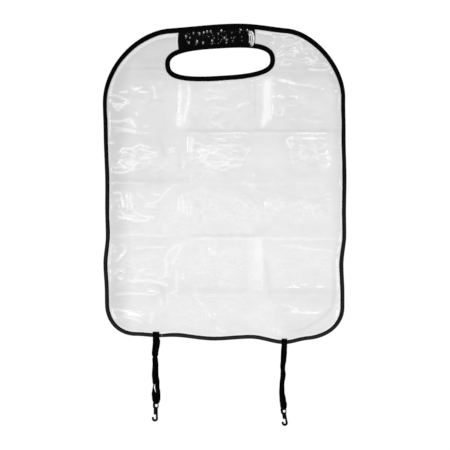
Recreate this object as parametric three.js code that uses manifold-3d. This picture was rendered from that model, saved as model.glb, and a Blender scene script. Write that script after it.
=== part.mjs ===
// Clear protector for the back of a car seat, as it comes to rest on a flat surface.
// X runs across the mat, Y from its bottom edge up to the headrest, Z up from the surface.
// All sizes are in millimetres and all heights along the mat are measured from its bottom line.
import * as THREE from 'three';
import { mergeVertices } from 'three/addons/utils/BufferGeometryUtils.js';
import Module from 'manifold-3d';

const wasm = await Module();
wasm.setup();

// Outline of the mat
const matLength = 618;
const shoulderWidth = 478;
const footWidth = 471;
const crownOffset = 30;
const crownDrop = 9.5;
const leftShoulderReach = 132;
const leftShoulderDrop = 146;
const rightShoulderReach = 114;
const rightShoulderDrop = 137;
const leftCornerReach = 61;
const leftCornerRise = 63;
const rightCornerReach = 82;
const rightCornerRise = 66;
// Share of a corner's size that its curve leaves along each side before it turns
const leftShoulderEase = 0.5;
const rightShoulderEase = 0.47;
const cornerEase = 0.58;

// Headrest opening, a long rounded slot that lies a little askew
const openingLength = 197.5;
const openingWidth = 53.5;
const openingBelowCrown = 76;
const openingShift = -8.6;
const openingTilt = 3.4;
const openingSquareness = 2.78;

// Clear film and the clearance between pieces that touch
const filmThickness = 0.4;
const clearance = 0.3;

// Folded tape round the edges
const tapeThickness = 0.6;
const sideBinding = 8.2;
const crownBinding = 10;
const openingBinding = 9.8;
const edgeInset = 2;
const tapeJointBesideStrap = 10.7;
const tapeJointGap = 2;

// Elastic band behind the film, and the gathers that it draws
const bandThickness = 1;
const bandLeft = -89;
const bandRight = 58;
const bandEndBow = 3;
const gatherPastBand = 4;
const gatherPitch = 9;
const gatherHeight = 2.2;
const gatherMargin = 2;
const gatherLean = 2.5;
const gatherEndShare = 8;
const bandLiftFade = 40;

// Packing folds: five across the mat and two up and down, which step sideways half way up
const foldRows = [87, 201, 303, 404, 522];
const foldBandWidth = 22;
const leftFoldUpper = -80;
const leftFoldLower = -104;
const rightFoldUpper = 86;
const rightFoldLower = 62;
const pillowHeight = 5;
const foldRidge = 2.4;
const creaseWidth = 14;
const rimMargin = 16;
const cornerMargin = 36;
const reliefFade = 40;

// Elastic straps and their hooks
const strapWidth = 8;
const strapThickness = 1.1;
const leftStrapLength = 128.4;
const rightStrapLength = 124;
const strapPastBinding = 1.8;
const strapRiseStart = 14;
const strapRiseEnd = 2;
const strapAtBar = 6.5;
const strapNarrowing = 7;
const strapNeck = 4;
const leftStrapPosition = -134.7;
const rightStrapPosition = 117.8;
const hookThickness = 3;
const hookBevel = 0.4;
const eyeBar = 2.4;
const eyeLength = 9.5;
const eyeLeftBar = 2.8;
const eyeRightBar = 1.6;
const eyeCornerRadius = 1.6;
const neckWidth = 7.4;
const neckLength = 13;
const hookStock = 2.8;
const hookMouth = 5;
const hookLeg = 7.8;
const hookTipRise = 0.9;
const rightHookTurn = 10;

// Spacing of the facets
const leastStep = 3;
const edgeSpacing = 15;
const openingSpacing = 10;
const filmStep = 22;
const gatherSteps = 4;
const hookArcSteps = 5;
const strapSteps = 26;
const strapTurnSteps = 8;
const bandRows = 4;

const edgeGap = tapeThickness + clearance;
const legGap = filmThickness + 2 * clearance;
const bandLift = bandThickness + clearance;
const bindingHeight = 2 * tapeThickness + legGap;
const leftShoulderHeight = matLength - crownDrop - leftShoulderDrop;
const rightShoulderHeight = matLength - crownDrop - rightShoulderDrop;
const openingHeight = matLength - openingBelowCrown;
const fullLiftHeight = openingHeight + openingWidth / 4;
const gatherLeft = bandLeft - gatherPastBand;
const gatherRight = bandRight + gatherPastBand;
const tapeJointPosition = leftStrapPosition + tapeJointBesideStrap;
const strapOverlap = sideBinding + strapPastBinding;

// Each strap's route: share of its length below the mat's edge, shift sideways, and half the
// distance between its two strands, which is negative where the upper strand lies on the left.
const leftRoute = [
  [0, 0, 2.8], [0.06, 0.8, 3], [0.26, -2, 2], [0.38, -1.4, -1.2], [0.57, -1.8, -2],
  [0.73, 1, -2.3], [0.88, 0.2, -4.1], [0.94, 0.2, -3.4], [1, -0.6, -1.5],
];
const rightRoute = [
  [0, 0.1, 1.8], [0.13, -0.6, 1.6], [0.24, -1.4, 1.1], [0.35, -3, 0.3], [0.47, -2.2, -0.7],
  [0.63, -4.5, -0.3], [0.74, -4.7, -0.8], [0.86, -3, -1.8], [0.94, -1.6, -2.2], [1, -2.2, -1.2],
];

function eased(share) {
  const t = THREE.MathUtils.clamp(share, 0, 1);
  return t * t * (3 - 2 * t);
}

// Smooth value between [position, value, value...] rows that are sorted by position.
function easedThrough(rows, position, column = 1) {
  const last = rows.length - 1;
  if (position <= rows[0][0]) return rows[0][column];
  if (position >= rows[last][0]) return rows[last][column];
  const next = rows.findIndex((row) => row[0] > position);
  const [from, to] = [rows[next - 1], rows[next]];
  const share = eased((position - from[0]) / (to[0] - from[0]));
  return THREE.MathUtils.lerp(from[column], to[column], share);
}

function midway(a, b) {
  return (a + b) / 2;
}

// The unfolded sheet doesn't lie quite straight: each row of panels slips sideways a little,
// and the bottom edge hangs lower between the folds than at them.
const rowSlip = [
  [midway(0, foldRows[0]), 0.7], [foldRows[0], 0.4], [midway(foldRows[0], foldRows[1]), -2],
  [foldRows[1], 3.1], [midway(foldRows[1], foldRows[2]), 2.3], [foldRows[2], 2.8],
  [foldRows[3], 0.4], [leftShoulderHeight, -0.8],
];
const bottomDip = [
  [-175, 2.5], [-130, -0.3], [leftFoldLower, 0.6], [midway(leftFoldLower, rightFoldLower), -6.7],
  [rightFoldLower - foldBandWidth / 2, -3.1], [rightStrapPosition, -13.8], [165, -5.9],
];
const dipStart = 162;
const dipFull = 42;

function laid(x, y) {
  const dip = easedThrough(bottomDip, x) * eased((dipStart - y) / (dipStart - dipFull));
  return new THREE.Vector2(x + easedThrough(rowSlip, y), y + dip);
}

function halfWidth(height) {
  return THREE.MathUtils.lerp(footWidth, shoulderWidth, Math.min(height / leftShoulderHeight, 1)) / 2;
}

// Evenly spaced points along a chain of points.
function respaced(points, count, closed) {
  const chain = closed ? [...points, points[0]] : points;
  const reach = [0];
  for (let i = 1; i < chain.length; i++) reach.push(reach[i - 1] + chain[i].distanceTo(chain[i - 1]));
  const total = reach[reach.length - 1];
  const result = [];
  const steps = closed ? count : count - 1;
  for (let i = 0, k = 1; i < count; i++) {
    const at = (total * i) / steps;
    while (k < reach.length - 1 && reach[k] < at) k++;
    const share = (at - reach[k - 1]) / (reach[k] - reach[k - 1]);
    result.push(chain[k - 1].clone().lerp(chain[k], share));
  }
  return result;
}

// The mat's edge, anticlockwise from the right side of the tape joint to its left side.
function outerEdge() {
  const crown = new THREE.Vector2(crownOffset, matLength);
  const leftEnd = new THREE.Vector2(leftShoulderReach - halfWidth(matLength), matLength - crownDrop);
  const rightEnd = new THREE.Vector2(halfWidth(matLength) - rightShoulderReach, matLength - crownDrop);
  const leftSlope = crownDrop / (crown.x - leftEnd.x);
  const rightSlope = crownDrop / (rightEnd.x - crown.x);
  const leftThird = (crown.x - leftEnd.x) / 3;
  const rightThird = (rightEnd.x - crown.x) / 3;
  const path = new THREE.Path();
  path.moveTo(tapeJointPosition + tapeJointGap / 2, 0);
  const right = halfWidth(rightCornerRise);
  path.lineTo(right - rightCornerReach, 0);
  path.bezierCurveTo(
    right - rightCornerReach * (1 - cornerEase), 0,
    right, rightCornerRise * (1 - cornerEase),
    right, rightCornerRise,
  );
  path.lineTo(halfWidth(rightShoulderHeight), rightShoulderHeight);
  const rightHandle = rightShoulderReach * rightShoulderEase;
  path.bezierCurveTo(
    halfWidth(matLength), rightShoulderHeight + rightShoulderDrop * rightShoulderEase,
    rightEnd.x + rightHandle, rightEnd.y - rightHandle * rightSlope,
    rightEnd.x, rightEnd.y,
  );
  path.bezierCurveTo(
    rightEnd.x - rightThird, rightEnd.y + rightThird * rightSlope,
    crown.x + rightThird, crown.y,
    crown.x, crown.y,
  );
  path.bezierCurveTo(
    crown.x - leftThird, crown.y,
    leftEnd.x + leftThird, leftEnd.y + leftThird * leftSlope,
    leftEnd.x, leftEnd.y,
  );
  const leftHandle = leftShoulderReach * leftShoulderEase;
  path.bezierCurveTo(
    leftEnd.x - leftHandle, leftEnd.y - leftHandle * leftSlope,
    -halfWidth(matLength), leftShoulderHeight + leftShoulderDrop * leftShoulderEase,
    -halfWidth(leftShoulderHeight), leftShoulderHeight,
  );
  const left = -halfWidth(leftCornerRise);
  path.lineTo(left, leftCornerRise);
  path.bezierCurveTo(
    left, leftCornerRise * (1 - cornerEase),
    left + leftCornerReach * (1 - cornerEase), 0,
    left + leftCornerReach, 0,
  );
  path.lineTo(tapeJointPosition - tapeJointGap / 2, 0);
  const straight = path.getSpacedPoints(400);
  const count = Math.round(path.getLength() / edgeSpacing);
  return respaced(straight.map((point) => laid(point.x, point.y)), count, false);
}

// The edge of the opening, anticlockwise.
function openingEdge() {
  const fine = [];
  const steps = 720;
  const power = 2 / openingSquareness;
  const tilt = THREE.MathUtils.degToRad(openingTilt);
  const centre = new THREE.Vector2(openingShift, openingHeight);
  for (let i = 0; i < steps; i++) {
    const angle = (2 * Math.PI * i) / steps;
    const along = Math.sign(Math.cos(angle)) * Math.abs(Math.cos(angle)) ** power;
    const across = Math.sign(Math.sin(angle)) * Math.abs(Math.sin(angle)) ** power;
    const point = new THREE.Vector2((openingLength / 2) * along, (openingWidth / 2) * across);
    fine.push(point.rotateAround(new THREE.Vector2(), tilt).add(centre));
  }
  const around = 2 * (openingLength + openingWidth);
  return respaced(fine, Math.round(around / openingSpacing), true);
}

// Unit vectors in the plane, square to the edge and pointing to its left.
function leftNormals(points, closed) {
  return points.map((point, i) => {
    const last = points.length - 1;
    const before = i > 0 ? points[i - 1] : closed ? points[last] : point;
    const after = i < last ? points[i + 1] : closed ? points[0] : point;
    const along = after.clone().sub(before).normalize();
    return new THREE.Vector2(-along.y, along.x);
  });
}

function offsetEdge(points, normals, distance) {
  return points.map((point, i) => point.clone().addScaledVector(normals[i], distance));
}

const edge = outerEdge();
const edgeNormals = leftNormals(edge, false);
const opening = openingEdge();
const openingNormals = leftNormals(opening, true).map((normal) => normal.negate());

function distanceToChain(x, y, points, closed) {
  const point = new THREE.Vector3(x, y, 0);
  const nearest = new THREE.Vector3();
  let best = Infinity;
  const count = closed ? points.length : points.length - 1;
  for (let i = 0; i < count; i++) {
    const a = points[i];
    const b = points[(i + 1) % points.length];
    const line = new THREE.Line3(new THREE.Vector3(a.x, a.y, 0), new THREE.Vector3(b.x, b.y, 0));
    line.closestPointToPoint(point, true, nearest);
    best = Math.min(best, nearest.distanceTo(point));
  }
  return best;
}

// Highest point of a chain above a place across the mat.
function topOf(points, x) {
  let top = -Infinity;
  for (let i = 1; i < points.length; i++) {
    const [a, b] = [points[i - 1], points[i]];
    if ((a.x - x) * (b.x - x) > 0 || a.x === b.x) continue;
    top = Math.max(top, THREE.MathUtils.lerp(a.y, b.y, (x - a.x) / (b.x - a.x)));
  }
  return top;
}

// How far the elastic band behind the film lifts the film and the upper leg of the tape.
function lift(x, y) {
  const along = Math.min(
    eased((x - gatherLeft + bandLiftFade) / bandLiftFade),
    eased((gatherRight + bandLiftFade - x) / bandLiftFade),
  );
  return bandLift * along * eased(1 + (y - fullLiftHeight) / bandLiftFade);
}

function geometryOf(positions, triangles) {
  const geometry = new THREE.BufferGeometry();
  geometry.setAttribute('position', new THREE.Float32BufferAttribute(positions, 3));
  geometry.setIndex(triangles);
  return geometry;
}

function signedVolume(positions, triangles) {
  let volume = 0;
  const corner = (i) => new THREE.Vector3().fromArray(positions, 3 * i);
  for (let i = 0; i < triangles.length; i += 3) {
    const a = corner(triangles[i]);
    const b = corner(triangles[i + 1]);
    volume += a.dot(b.cross(corner(triangles[i + 2])));
  }
  return volume / 6;
}

// A closed body whose faces point outwards, from points and triangles of either sense.
function body(positions, triangles) {
  const outward = signedVolume(positions, triangles) > 0;
  const ordered = [];
  for (let i = 0; i < triangles.length; i += 3) {
    const [a, b, c] = triangles.slice(i, i + 3);
    ordered.push(a, outward ? b : c, outward ? c : b);
  }
  return geometryOf(positions, ordered);
}

// A body through a row of rings, each a list of points in the same order round its section.
// Its ends are closed by capping the section, or the last ring joins the first.
function loft(rings, section, joined) {
  const around = rings[0].length;
  const positions = rings.flatMap((ring) => ring.flatMap((point) => point.toArray()));
  const triangles = [];
  const spans = joined ? rings.length : rings.length - 1;
  for (let i = 0; i < spans; i++) {
    const a = i * around;
    const b = ((i + 1) % rings.length) * around;
    for (let k = 0; k < around; k++) {
      const next = (k + 1) % around;
      triangles.push(a + k, b + k, b + next, a + k, b + next, a + next);
    }
  }
  if (!joined) {
    const cap = THREE.ShapeUtils.triangulateShape(section, []);
    const end = (rings.length - 1) * around;
    const forward = !THREE.ShapeUtils.isClockWise(section);
    for (const [p, q, r] of cap) {
      triangles.push(p, forward ? q : r, forward ? r : q);
      triangles.push(end + p, end + (forward ? r : q), end + (forward ? q : r));
    }
  }
  return body(positions, triangles);
}

// Section of the folded tape: [distance from the edge, level], where the level is a function
// of the height of the gap between the tape's legs.
function tapeSection(width) {
  const outerRadius = tapeThickness + legGap / 2;
  const innerRadius = legGap / 2;
  const turn = (angle) => THREE.MathUtils.degToRad(angle);
  const points = [];
  for (const angle of [-90, -45, 0, 45, 90]) {
    const rise = (1 + Math.sin(turn(angle))) / 2;
    points.push([outerRadius * (1 - Math.cos(turn(angle))), (gap) => (2 * tapeThickness + gap) * rise]);
  }
  points.push([width, (gap) => 2 * tapeThickness + gap]);
  points.push([width, (gap) => tapeThickness + gap]);
  for (const angle of [90, 0, -90]) {
    const rise = (1 + Math.sin(turn(angle))) / 2;
    points.push([outerRadius - innerRadius * Math.cos(turn(angle)), (gap) => tapeThickness + gap * rise]);
  }
  points.push([width, () => tapeThickness]);
  points.push([width, () => 0]);
  return points;
}

function foldedTape(points, inward, widthAt, joined) {
  const flat = tapeSection(sideBinding).map(([depth, level]) => new THREE.Vector2(depth, level(legGap)));
  const rings = points.map((point, i) => tapeSection(widthAt(point.y)).map(([depth, level]) => {
    const place = point.clone().addScaledVector(inward[i], depth);
    return new THREE.Vector3(place.x, place.y, level(legGap + lift(place.x, place.y)));
  }));
  return loft(rings, flat, joined);
}

function outerBinding() {
  const rise = matLength - leftShoulderHeight;
  const widthAt = (y) => {
    const share = eased((y - leftShoulderHeight) / rise);
    return THREE.MathUtils.lerp(sideBinding, crownBinding, share);
  };
  return foldedTape(edge, edgeNormals, widthAt, false);
}

function innerBinding() {
  return foldedTape(opening, openingNormals, () => openingBinding, true);
}

// Relief of the film over its flat level: low pillows between the packing folds, a flat-topped
// ridge along each fold that runs up the mat, and a tented crease along every other fold across.
function foldPlace(upper, lower, y) {
  return THREE.MathUtils.lerp(lower, upper, eased((y - foldRows[2]) / creaseWidth + 0.5));
}

function pillow(x, y) {
  const half = foldBandWidth / 2;
  const left = foldPlace(leftFoldUpper, leftFoldLower, y);
  const right = foldPlace(rightFoldUpper, rightFoldLower, y);
  const columns = [-halfWidth(y), left - half, left + half, right - half, right + half, halfWidth(y)];
  const rows = [0, ...foldRows, matLength];
  const column = [0, 2, 4].find((i) => x >= columns[i] && x <= columns[i + 1]);
  const row = rows.findIndex((start, i) => y >= start && y < rows[i + 1]);
  if (column === undefined || row < 0) return 0;
  const across = (x - columns[column]) / (columns[column + 1] - columns[column]);
  const along = (y - rows[row]) / (rows[row + 1] - rows[row]);
  return pillowHeight * Math.sqrt(Math.sin(Math.PI * across) * Math.sin(Math.PI * along));
}

function ridge(x, y) {
  const places = [foldPlace(leftFoldUpper, leftFoldLower, y), foldPlace(rightFoldUpper, rightFoldLower, y)];
  const nearest = Math.min(...places.map((place) => Math.abs(x - place)));
  const upright = eased(1.5 - nearest / (foldBandWidth / 2));
  const tent = foldRows.filter((_, i) => i % 2 === 0)
    .map((row) => Math.max(0, 1 - Math.abs(y - row) / (creaseWidth / 2)));
  return foldRidge * Math.max(upright, ...tent);
}

function rimFade(x, y) {
  const low = Math.max(leftCornerRise, rightCornerRise);
  const straight = eased(y / low - 0.5) * eased((leftShoulderHeight - y) / low + 0.5);
  const margin = THREE.MathUtils.lerp(cornerMargin, rimMargin, straight);
  const toEdge = distanceToChain(x, y, edge, false);
  const toOpening = distanceToChain(x, y, opening, true);
  return eased((toEdge - margin) / reliefFade) * eased((toOpening - cornerMargin) / reliefFade);
}

// Gathers between the two bindings, drawn up by the band.
function gathers(x, y) {
  const low = topOf(opening, x) + openingBinding + gatherMargin;
  const high = topOf(edge, x) - crownBinding - gatherMargin;
  const across = THREE.MathUtils.clamp((y - low) / (high - low), 0, 1);
  const along = THREE.MathUtils.clamp((x - gatherLeft) / (gatherRight - gatherLeft), 0, 1);
  const fade = Math.sin(Math.PI * across) * Math.min(1, gatherEndShare * along * (1 - along));
  const lean = (across - 0.5) * gatherLean;
  return gatherHeight * fade * (0.5 - 0.5 * Math.cos((2 * Math.PI * (x - gatherLeft + lean)) / gatherPitch));
}

function filmLevel(x, y) {
  const gathered = x > gatherLeft && x < gatherRight && y > fullLiftHeight;
  if (gathered) return edgeGap + lift(x, y) + gathers(x, y);
  return edgeGap + lift(x, y) + rimFade(x, y) * Math.max(pillow(x, y), ridge(x, y));
}

// Grid lines that keep to the given places and fill the rest at about an even step.
function gridLines(from, to, step, places) {
  const fixed = [from, ...places, to].sort((a, b) => a - b);
  const kept = fixed.filter((place, i) => i === 0 || place - fixed[i - 1] > leastStep / 3);
  const lines = [];
  for (let i = 1; i < kept.length; i++) {
    const count = Math.max(1, Math.round((kept[i] - kept[i - 1]) / step));
    for (let k = 0; k < count; k++) lines.push(THREE.MathUtils.lerp(kept[i - 1], kept[i], k / count));
  }
  lines.push(kept[kept.length - 1]);
  return lines;
}

// The film as a slab over a grid. Inside the gathered window the grid is finer, and the cells
// beside it take in the finer points along their shared edge.
function filmSlab() {
  const reach = shoulderWidth / 2 + filmStep / 2;
  const half = foldBandWidth / 2;
  const columnsAt = [leftFoldUpper, leftFoldLower, rightFoldUpper, rightFoldLower]
    .flatMap((place) => [place - half, place, place + half])
    .filter((place) => Math.min(Math.abs(place - gatherLeft), Math.abs(place - gatherRight)) > leastStep);
  const rim = footWidth / 2 - rimMargin;
  const xs = gridLines(-reach, reach, filmStep, [...columnsAt, gatherLeft, gatherRight, -rim, rim]);
  const windowLow = openingHeight + openingWidth / 2;
  const windowHigh = matLength;
  const folds = foldRows.flatMap((row) => [row - creaseWidth / 2, row, row + creaseWidth / 2]);
  const ys = gridLines(-filmStep, matLength + filmStep / 2, filmStep, [...folds, rimMargin, windowLow, windowHigh]);
  const between = (values, low, high) => values.filter((value) => value > low + 1e-6 && value < high - 1e-6);
  const fineStep = gatherPitch / gatherSteps;
  const fineXs = gridLines(gatherLeft, gatherRight, fineStep, between(xs, gatherLeft, gatherRight));
  const fineYs = gridLines(windowLow, windowHigh, crownBinding / 2, between(ys, windowLow, windowHigh));

  const keys = new Map();
  const places = [];
  const indexOf = (x, y) => {
    const key = `${x.toFixed(4)} ${y.toFixed(4)}`;
    if (!keys.has(key)) {
      keys.set(key, places.length);
      places.push([x, y]);
    }
    return keys.get(key);
  };
  const flat = [];
  const square = (x0, x1, y0, y1) => {
    const [a, b, c, d] = [indexOf(x0, y0), indexOf(x1, y0), indexOf(x1, y1), indexOf(x0, y1)];
    flat.push([a, b, c], [a, c, d]);
  };
  const inWindow = (x, y) => x > gatherLeft && x < gatherRight && y > windowLow && y < windowHigh;
  for (let i = 1; i < xs.length; i++) {
    for (let k = 1; k < ys.length; k++) {
      const [x0, x1, y0, y1] = [xs[i - 1], xs[i], ys[k - 1], ys[k]];
      if (inWindow(midway(x0, x1), midway(y0, y1))) continue;
      const over = inWindow(midway(x0, x1), y1 + 1) ? between(fineXs, x0, x1) : [];
      const under = inWindow(midway(x0, x1), y0 - 1) ? between(fineXs, x0, x1) : [];
      const rightwards = inWindow(x1 + 1, midway(y0, y1)) ? between(fineYs, y0, y1) : [];
      const leftwards = inWindow(x0 - 1, midway(y0, y1)) ? between(fineYs, y0, y1) : [];
      if (over.length + under.length + rightwards.length + leftwards.length === 0) {
        square(x0, x1, y0, y1);
        continue;
      }
      const ring = [
        [x0, y0], ...under.map((x) => [x, y0]),
        [x1, y0], ...rightwards.map((y) => [x1, y]),
        [x1, y1], ...over.reverse().map((x) => [x, y1]),
        [x0, y1], ...leftwards.reverse().map((y) => [x0, y]),
      ];
      const contour = ring.map(([x, y]) => new THREE.Vector2(x, y));
      for (const triangle of THREE.ShapeUtils.triangulateShape(contour, [])) {
        flat.push(triangle.map((corner) => indexOf(...ring[corner])));
      }
    }
  }
  for (let i = 1; i < fineXs.length; i++) {
    for (let k = 1; k < fineYs.length; k++) square(fineXs[i - 1], fineXs[i], fineYs[k - 1], fineYs[k]);
  }
  return thickened(places, flat, filmLevel, filmThickness);
}

// A slab over a flat net of triangles, all anticlockwise, whose underside follows a level.
function thickened(places, flat, levelAt, thickness) {
  const levels = places.map(([x, y]) => levelAt(x, y));
  const upper = places.length;
  const positions = [
    ...places.flatMap(([x, y], i) => [x, y, levels[i]]),
    ...places.flatMap(([x, y], i) => [x, y, levels[i] + thickness]),
  ];
  const triangles = [];
  const open = new Set();
  for (const [a, b, c] of flat) {
    triangles.push(a, c, b, upper + a, upper + b, upper + c);
    for (const [from, to] of [[a, b], [b, c], [c, a]]) {
      if (!open.delete(`${to} ${from}`)) open.add(`${from} ${to}`);
    }
  }
  for (const side of open) {
    const [from, to] = side.split(' ').map(Number);
    triangles.push(from, to, upper + to, from, upper + to, upper + from);
  }
  return body(positions, triangles);
}

function toManifold(geometry) {
  const plain = geometry.clone();
  plain.deleteAttribute('normal');
  plain.deleteAttribute('uv');
  const merged = mergeVertices(plain, 1e-4);
  return new wasm.Manifold(new wasm.Mesh({
    numProp: 3,
    vertProperties: new Float32Array(merged.attributes.position.array),
    triVerts: new Uint32Array(merged.index.array),
  }));
}

function fromManifold(solid) {
  const mesh = solid.getMesh();
  return geometryOf(Array.from(mesh.vertProperties), Array.from(mesh.triVerts));
}

// An upright block over an outline, taller than the film's relief on both sides.
function prism(points) {
  const depth = 10 * (pillowHeight + bindingHeight);
  const block = new THREE.ExtrudeGeometry(new THREE.Shape(points), { depth, bevelEnabled: false });
  block.translate(0, 0, -depth / 2);
  return toManifold(block);
}

function clearSheet() {
  const outside = prism(offsetEdge(edge, edgeNormals, edgeInset));
  const hole = prism(offsetEdge(opening, openingNormals, edgeInset));
  return fromManifold(toManifold(filmSlab()).intersect(outside).subtract(hole));
}

// The band, caught in both bindings. Its ends bow a little, since its edges are sewn stretched.
function headrestBand() {
  const across = bandRows;
  const along = Math.round((bandRight - bandLeft) / edgeSpacing) * 2;
  const places = [];
  const flat = [];
  for (let i = 0; i <= along; i++) {
    for (let k = 0; k <= across; k++) {
      const share = k / across;
      const bow = 4 * bandEndBow * share * (1 - share);
      const x = THREE.MathUtils.lerp(bandLeft - bow, bandRight + bow, i / along);
      const low = topOf(opening, x) + edgeInset;
      const high = topOf(edge, x) - edgeInset;
      places.push([x, THREE.MathUtils.lerp(low, high, share)]);
    }
  }
  for (let i = 0; i < along; i++) {
    for (let k = 0; k < across; k++) {
      const a = i * (across + 1) + k;
      const b = a + across + 1;
      flat.push([a, b, b + 1], [a, b + 1, a + 1]);
    }
  }
  return thickened(places, flat, () => edgeGap, bandThickness);
}

// The inner radius of the strap's turn round the eye's bar, and the height of that bar.
const turnRadius = Math.hypot(eyeBar, hookThickness) / 2 + clearance;
const barLevel = strapThickness + turnRadius;

function bottomEdgeAt(x) {
  return laid(x, 0).y;
}

// One strap: an elastic loop whose upper strand goes over the eye's bar and comes back below it.
// Both ends lie one on the other over the binding.
function strap(position, route, length, turn) {
  const edgeHeight = bottomEdgeAt(position);
  const riseFrom = length - strapRiseStart;
  const riseTo = length - strapRiseEnd;
  const risen = (below) => eased((below - riseFrom) / (riseTo - riseFrom));
  const turned = (below) => THREE.MathUtils.degToRad(turn) * risen(below);
  const half = strapThickness / 2;
  const lowerLevel = (below) => {
    const onBinding = bindingHeight + clearance + half;
    return THREE.MathUtils.lerp(onBinding, half, eased((below - 1) / (strapOverlap + 1)));
  };
  const upperLevel = (below) => {
    const stacked = lowerLevel(below) + strapThickness + clearance;
    return THREE.MathUtils.lerp(stacked, barLevel + turnRadius + half, risen(below));
  };
  const widthAt = (below) => {
    const share = eased((below - length + strapNarrowing) / strapNarrowing);
    return THREE.MathUtils.lerp(strapWidth, strapAtBar, share);
  };
  const place = (below, side, level) => new THREE.Vector3(
    position + easedThrough(route, below / length) + side * easedThrough(route, below / length, 2),
    edgeHeight - below,
    level,
  );
  const path = [];
  for (let i = 0; i <= strapSteps; i++) {
    const below = THREE.MathUtils.lerp(-strapOverlap, length, i / strapSteps);
    path.push([place(below, 1, upperLevel(below)), widthAt(below), turned(below)]);
  }
  for (let i = 1; i < strapTurnSteps; i++) {
    const angle = (Math.PI * i) / strapTurnSteps;
    const radius = turnRadius + half;
    const heading = turned(length);
    const reach = radius * Math.sin(angle);
    const gathered = eased(2 * Math.sin(angle) ** 2);
    const point = place(length, Math.cos(angle) * (1 - gathered), barLevel + radius * Math.cos(angle));
    point.x += reach * Math.sin(heading);
    point.y -= reach * Math.cos(heading);
    path.push([point, THREE.MathUtils.lerp(strapAtBar, strapNeck, gathered), heading]);
  }
  for (let i = strapSteps; i >= 0; i--) {
    const below = THREE.MathUtils.lerp(-strapOverlap, length, i / strapSteps);
    path.push([place(below, -1, lowerLevel(below)), widthAt(below), turned(below)]);
  }
  const section = [[-1, 0], [-0.85, -1], [0.85, -1], [1, 0], [0.85, 1], [-0.85, 1]];
  const rings = path.map(([point, width, heading], i) => {
    const before = path[Math.max(i - 1, 0)][0];
    const after = path[Math.min(i + 1, path.length - 1)][0];
    const sideways = new THREE.Vector3(Math.cos(heading), Math.sin(heading), 0);
    const along = after.clone().sub(before);
    along.addScaledVector(sideways, -along.dot(sideways)).normalize();
    const normal = sideways.clone().cross(along);
    return section.map(([across, up]) => point.clone()
      .addScaledVector(sideways, (across * width) / 2)
      .addScaledVector(normal, up * half));
  });
  return loft(rings, section.map(([x, y]) => new THREE.Vector2(x, y)), false);
}

// One hook, with its origin on the eye's bar above the middle of the hole, its leg pointing down.
const eyeHole = strapNeck + 2 * clearance;
const hookReach = eyeBar / 2 + eyeLength + neckLength + hookLeg + hookMouth / 2 + hookStock;

function withoutRepeats(points) {
  return points.filter((point, i) => point.distanceTo(points[(i + 1) % points.length]) > 1e-6);
}

function hookGeometry() {
  const left = -eyeHole / 2 - eyeLeftBar;
  const right = eyeHole / 2 + eyeRightBar;
  const middle = (left + right) / 2;
  const top = eyeBar / 2;
  const round = eyeCornerRadius + eyeRightBar / 2;
  const holeBottom = -top - eyeLength;
  const neckBottom = holeBottom - neckLength;
  const neckLeft = middle - neckWidth / 2;
  const neckRight = middle + neckWidth / 2;
  const inner = hookMouth / 2;
  const outer = inner + hookStock;
  const centreX = neckRight - outer;
  const centreY = neckBottom - hookLeg;
  const tip = centreY + hookTipRise;
  const shape = new THREE.Shape();
  shape.moveTo(neckRight, centreY);
  shape.absarc(centreX, centreY, outer, 0, -Math.PI, true);
  shape.lineTo(centreX - outer, tip);
  shape.absarc(centreX - inner - hookStock / 2, tip, hookStock / 2, Math.PI, 0, true);
  shape.lineTo(centreX - inner, centreY);
  shape.absarc(centreX, centreY, inner, Math.PI, 2 * Math.PI, false);
  shape.lineTo(centreX + inner, neckBottom);
  shape.lineTo(neckLeft, neckBottom);
  shape.lineTo(neckLeft, holeBottom - eyeBar);
  shape.lineTo(left, holeBottom);
  shape.lineTo(left, top - round);
  shape.absarc(left + round, top - round, round, Math.PI, Math.PI / 2, true);
  shape.lineTo(right - round, top);
  shape.absarc(right - round, top - round, round, Math.PI / 2, 0, true);
  shape.lineTo(right, holeBottom);
  shape.lineTo(neckRight, holeBottom - eyeBar);
  shape.closePath();
  const hole = new THREE.Path();
  const corner = eyeCornerRadius;
  hole.moveTo(eyeHole / 2, -top - corner);
  hole.lineTo(eyeHole / 2, holeBottom + corner);
  hole.absarc(eyeHole / 2 - corner, holeBottom + corner, corner, 0, -Math.PI / 2, true);
  hole.lineTo(-eyeHole / 2 + corner, holeBottom);
  hole.absarc(-eyeHole / 2 + corner, holeBottom + corner, corner, -Math.PI / 2, -Math.PI, true);
  hole.lineTo(-eyeHole / 2, -top);
  hole.lineTo(eyeHole / 2, -top);
  shape.holes.push(hole);
  const rings = shape.extractPoints(hookArcSteps);
  const outline = new THREE.Shape(withoutRepeats(rings.shape));
  outline.holes = rings.holes.map((ring) => new THREE.Path(withoutRepeats(ring).reverse()));
  const depth = hookThickness - 2 * hookBevel;
  const geometry = new THREE.ExtrudeGeometry(outline, {
    depth,
    bevelThickness: hookBevel,
    bevelSize: hookBevel,
    bevelOffset: -hookBevel,
    bevelSegments: 1,
  });
  geometry.translate(0, 0, -depth / 2);
  return fromManifold(toManifold(geometry));
}

// The hook hangs on the strap's turn and its foot rests on the surface.
function placedHook(name, position, route, length, turn) {
  const mesh = new THREE.Mesh(hookGeometry(), plastic);
  mesh.name = name;
  const half = hookThickness / 2;
  mesh.rotation.x = Math.asin(barLevel / Math.hypot(hookReach, half)) - Math.atan2(half, hookReach);
  const holder = new THREE.Group();
  holder.add(mesh);
  holder.rotation.z = THREE.MathUtils.degToRad(turn);
  const x = position + easedThrough(route, 1);
  holder.position.set(x, bottomEdgeAt(position) - length, barLevel);
  return holder;
}

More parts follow.
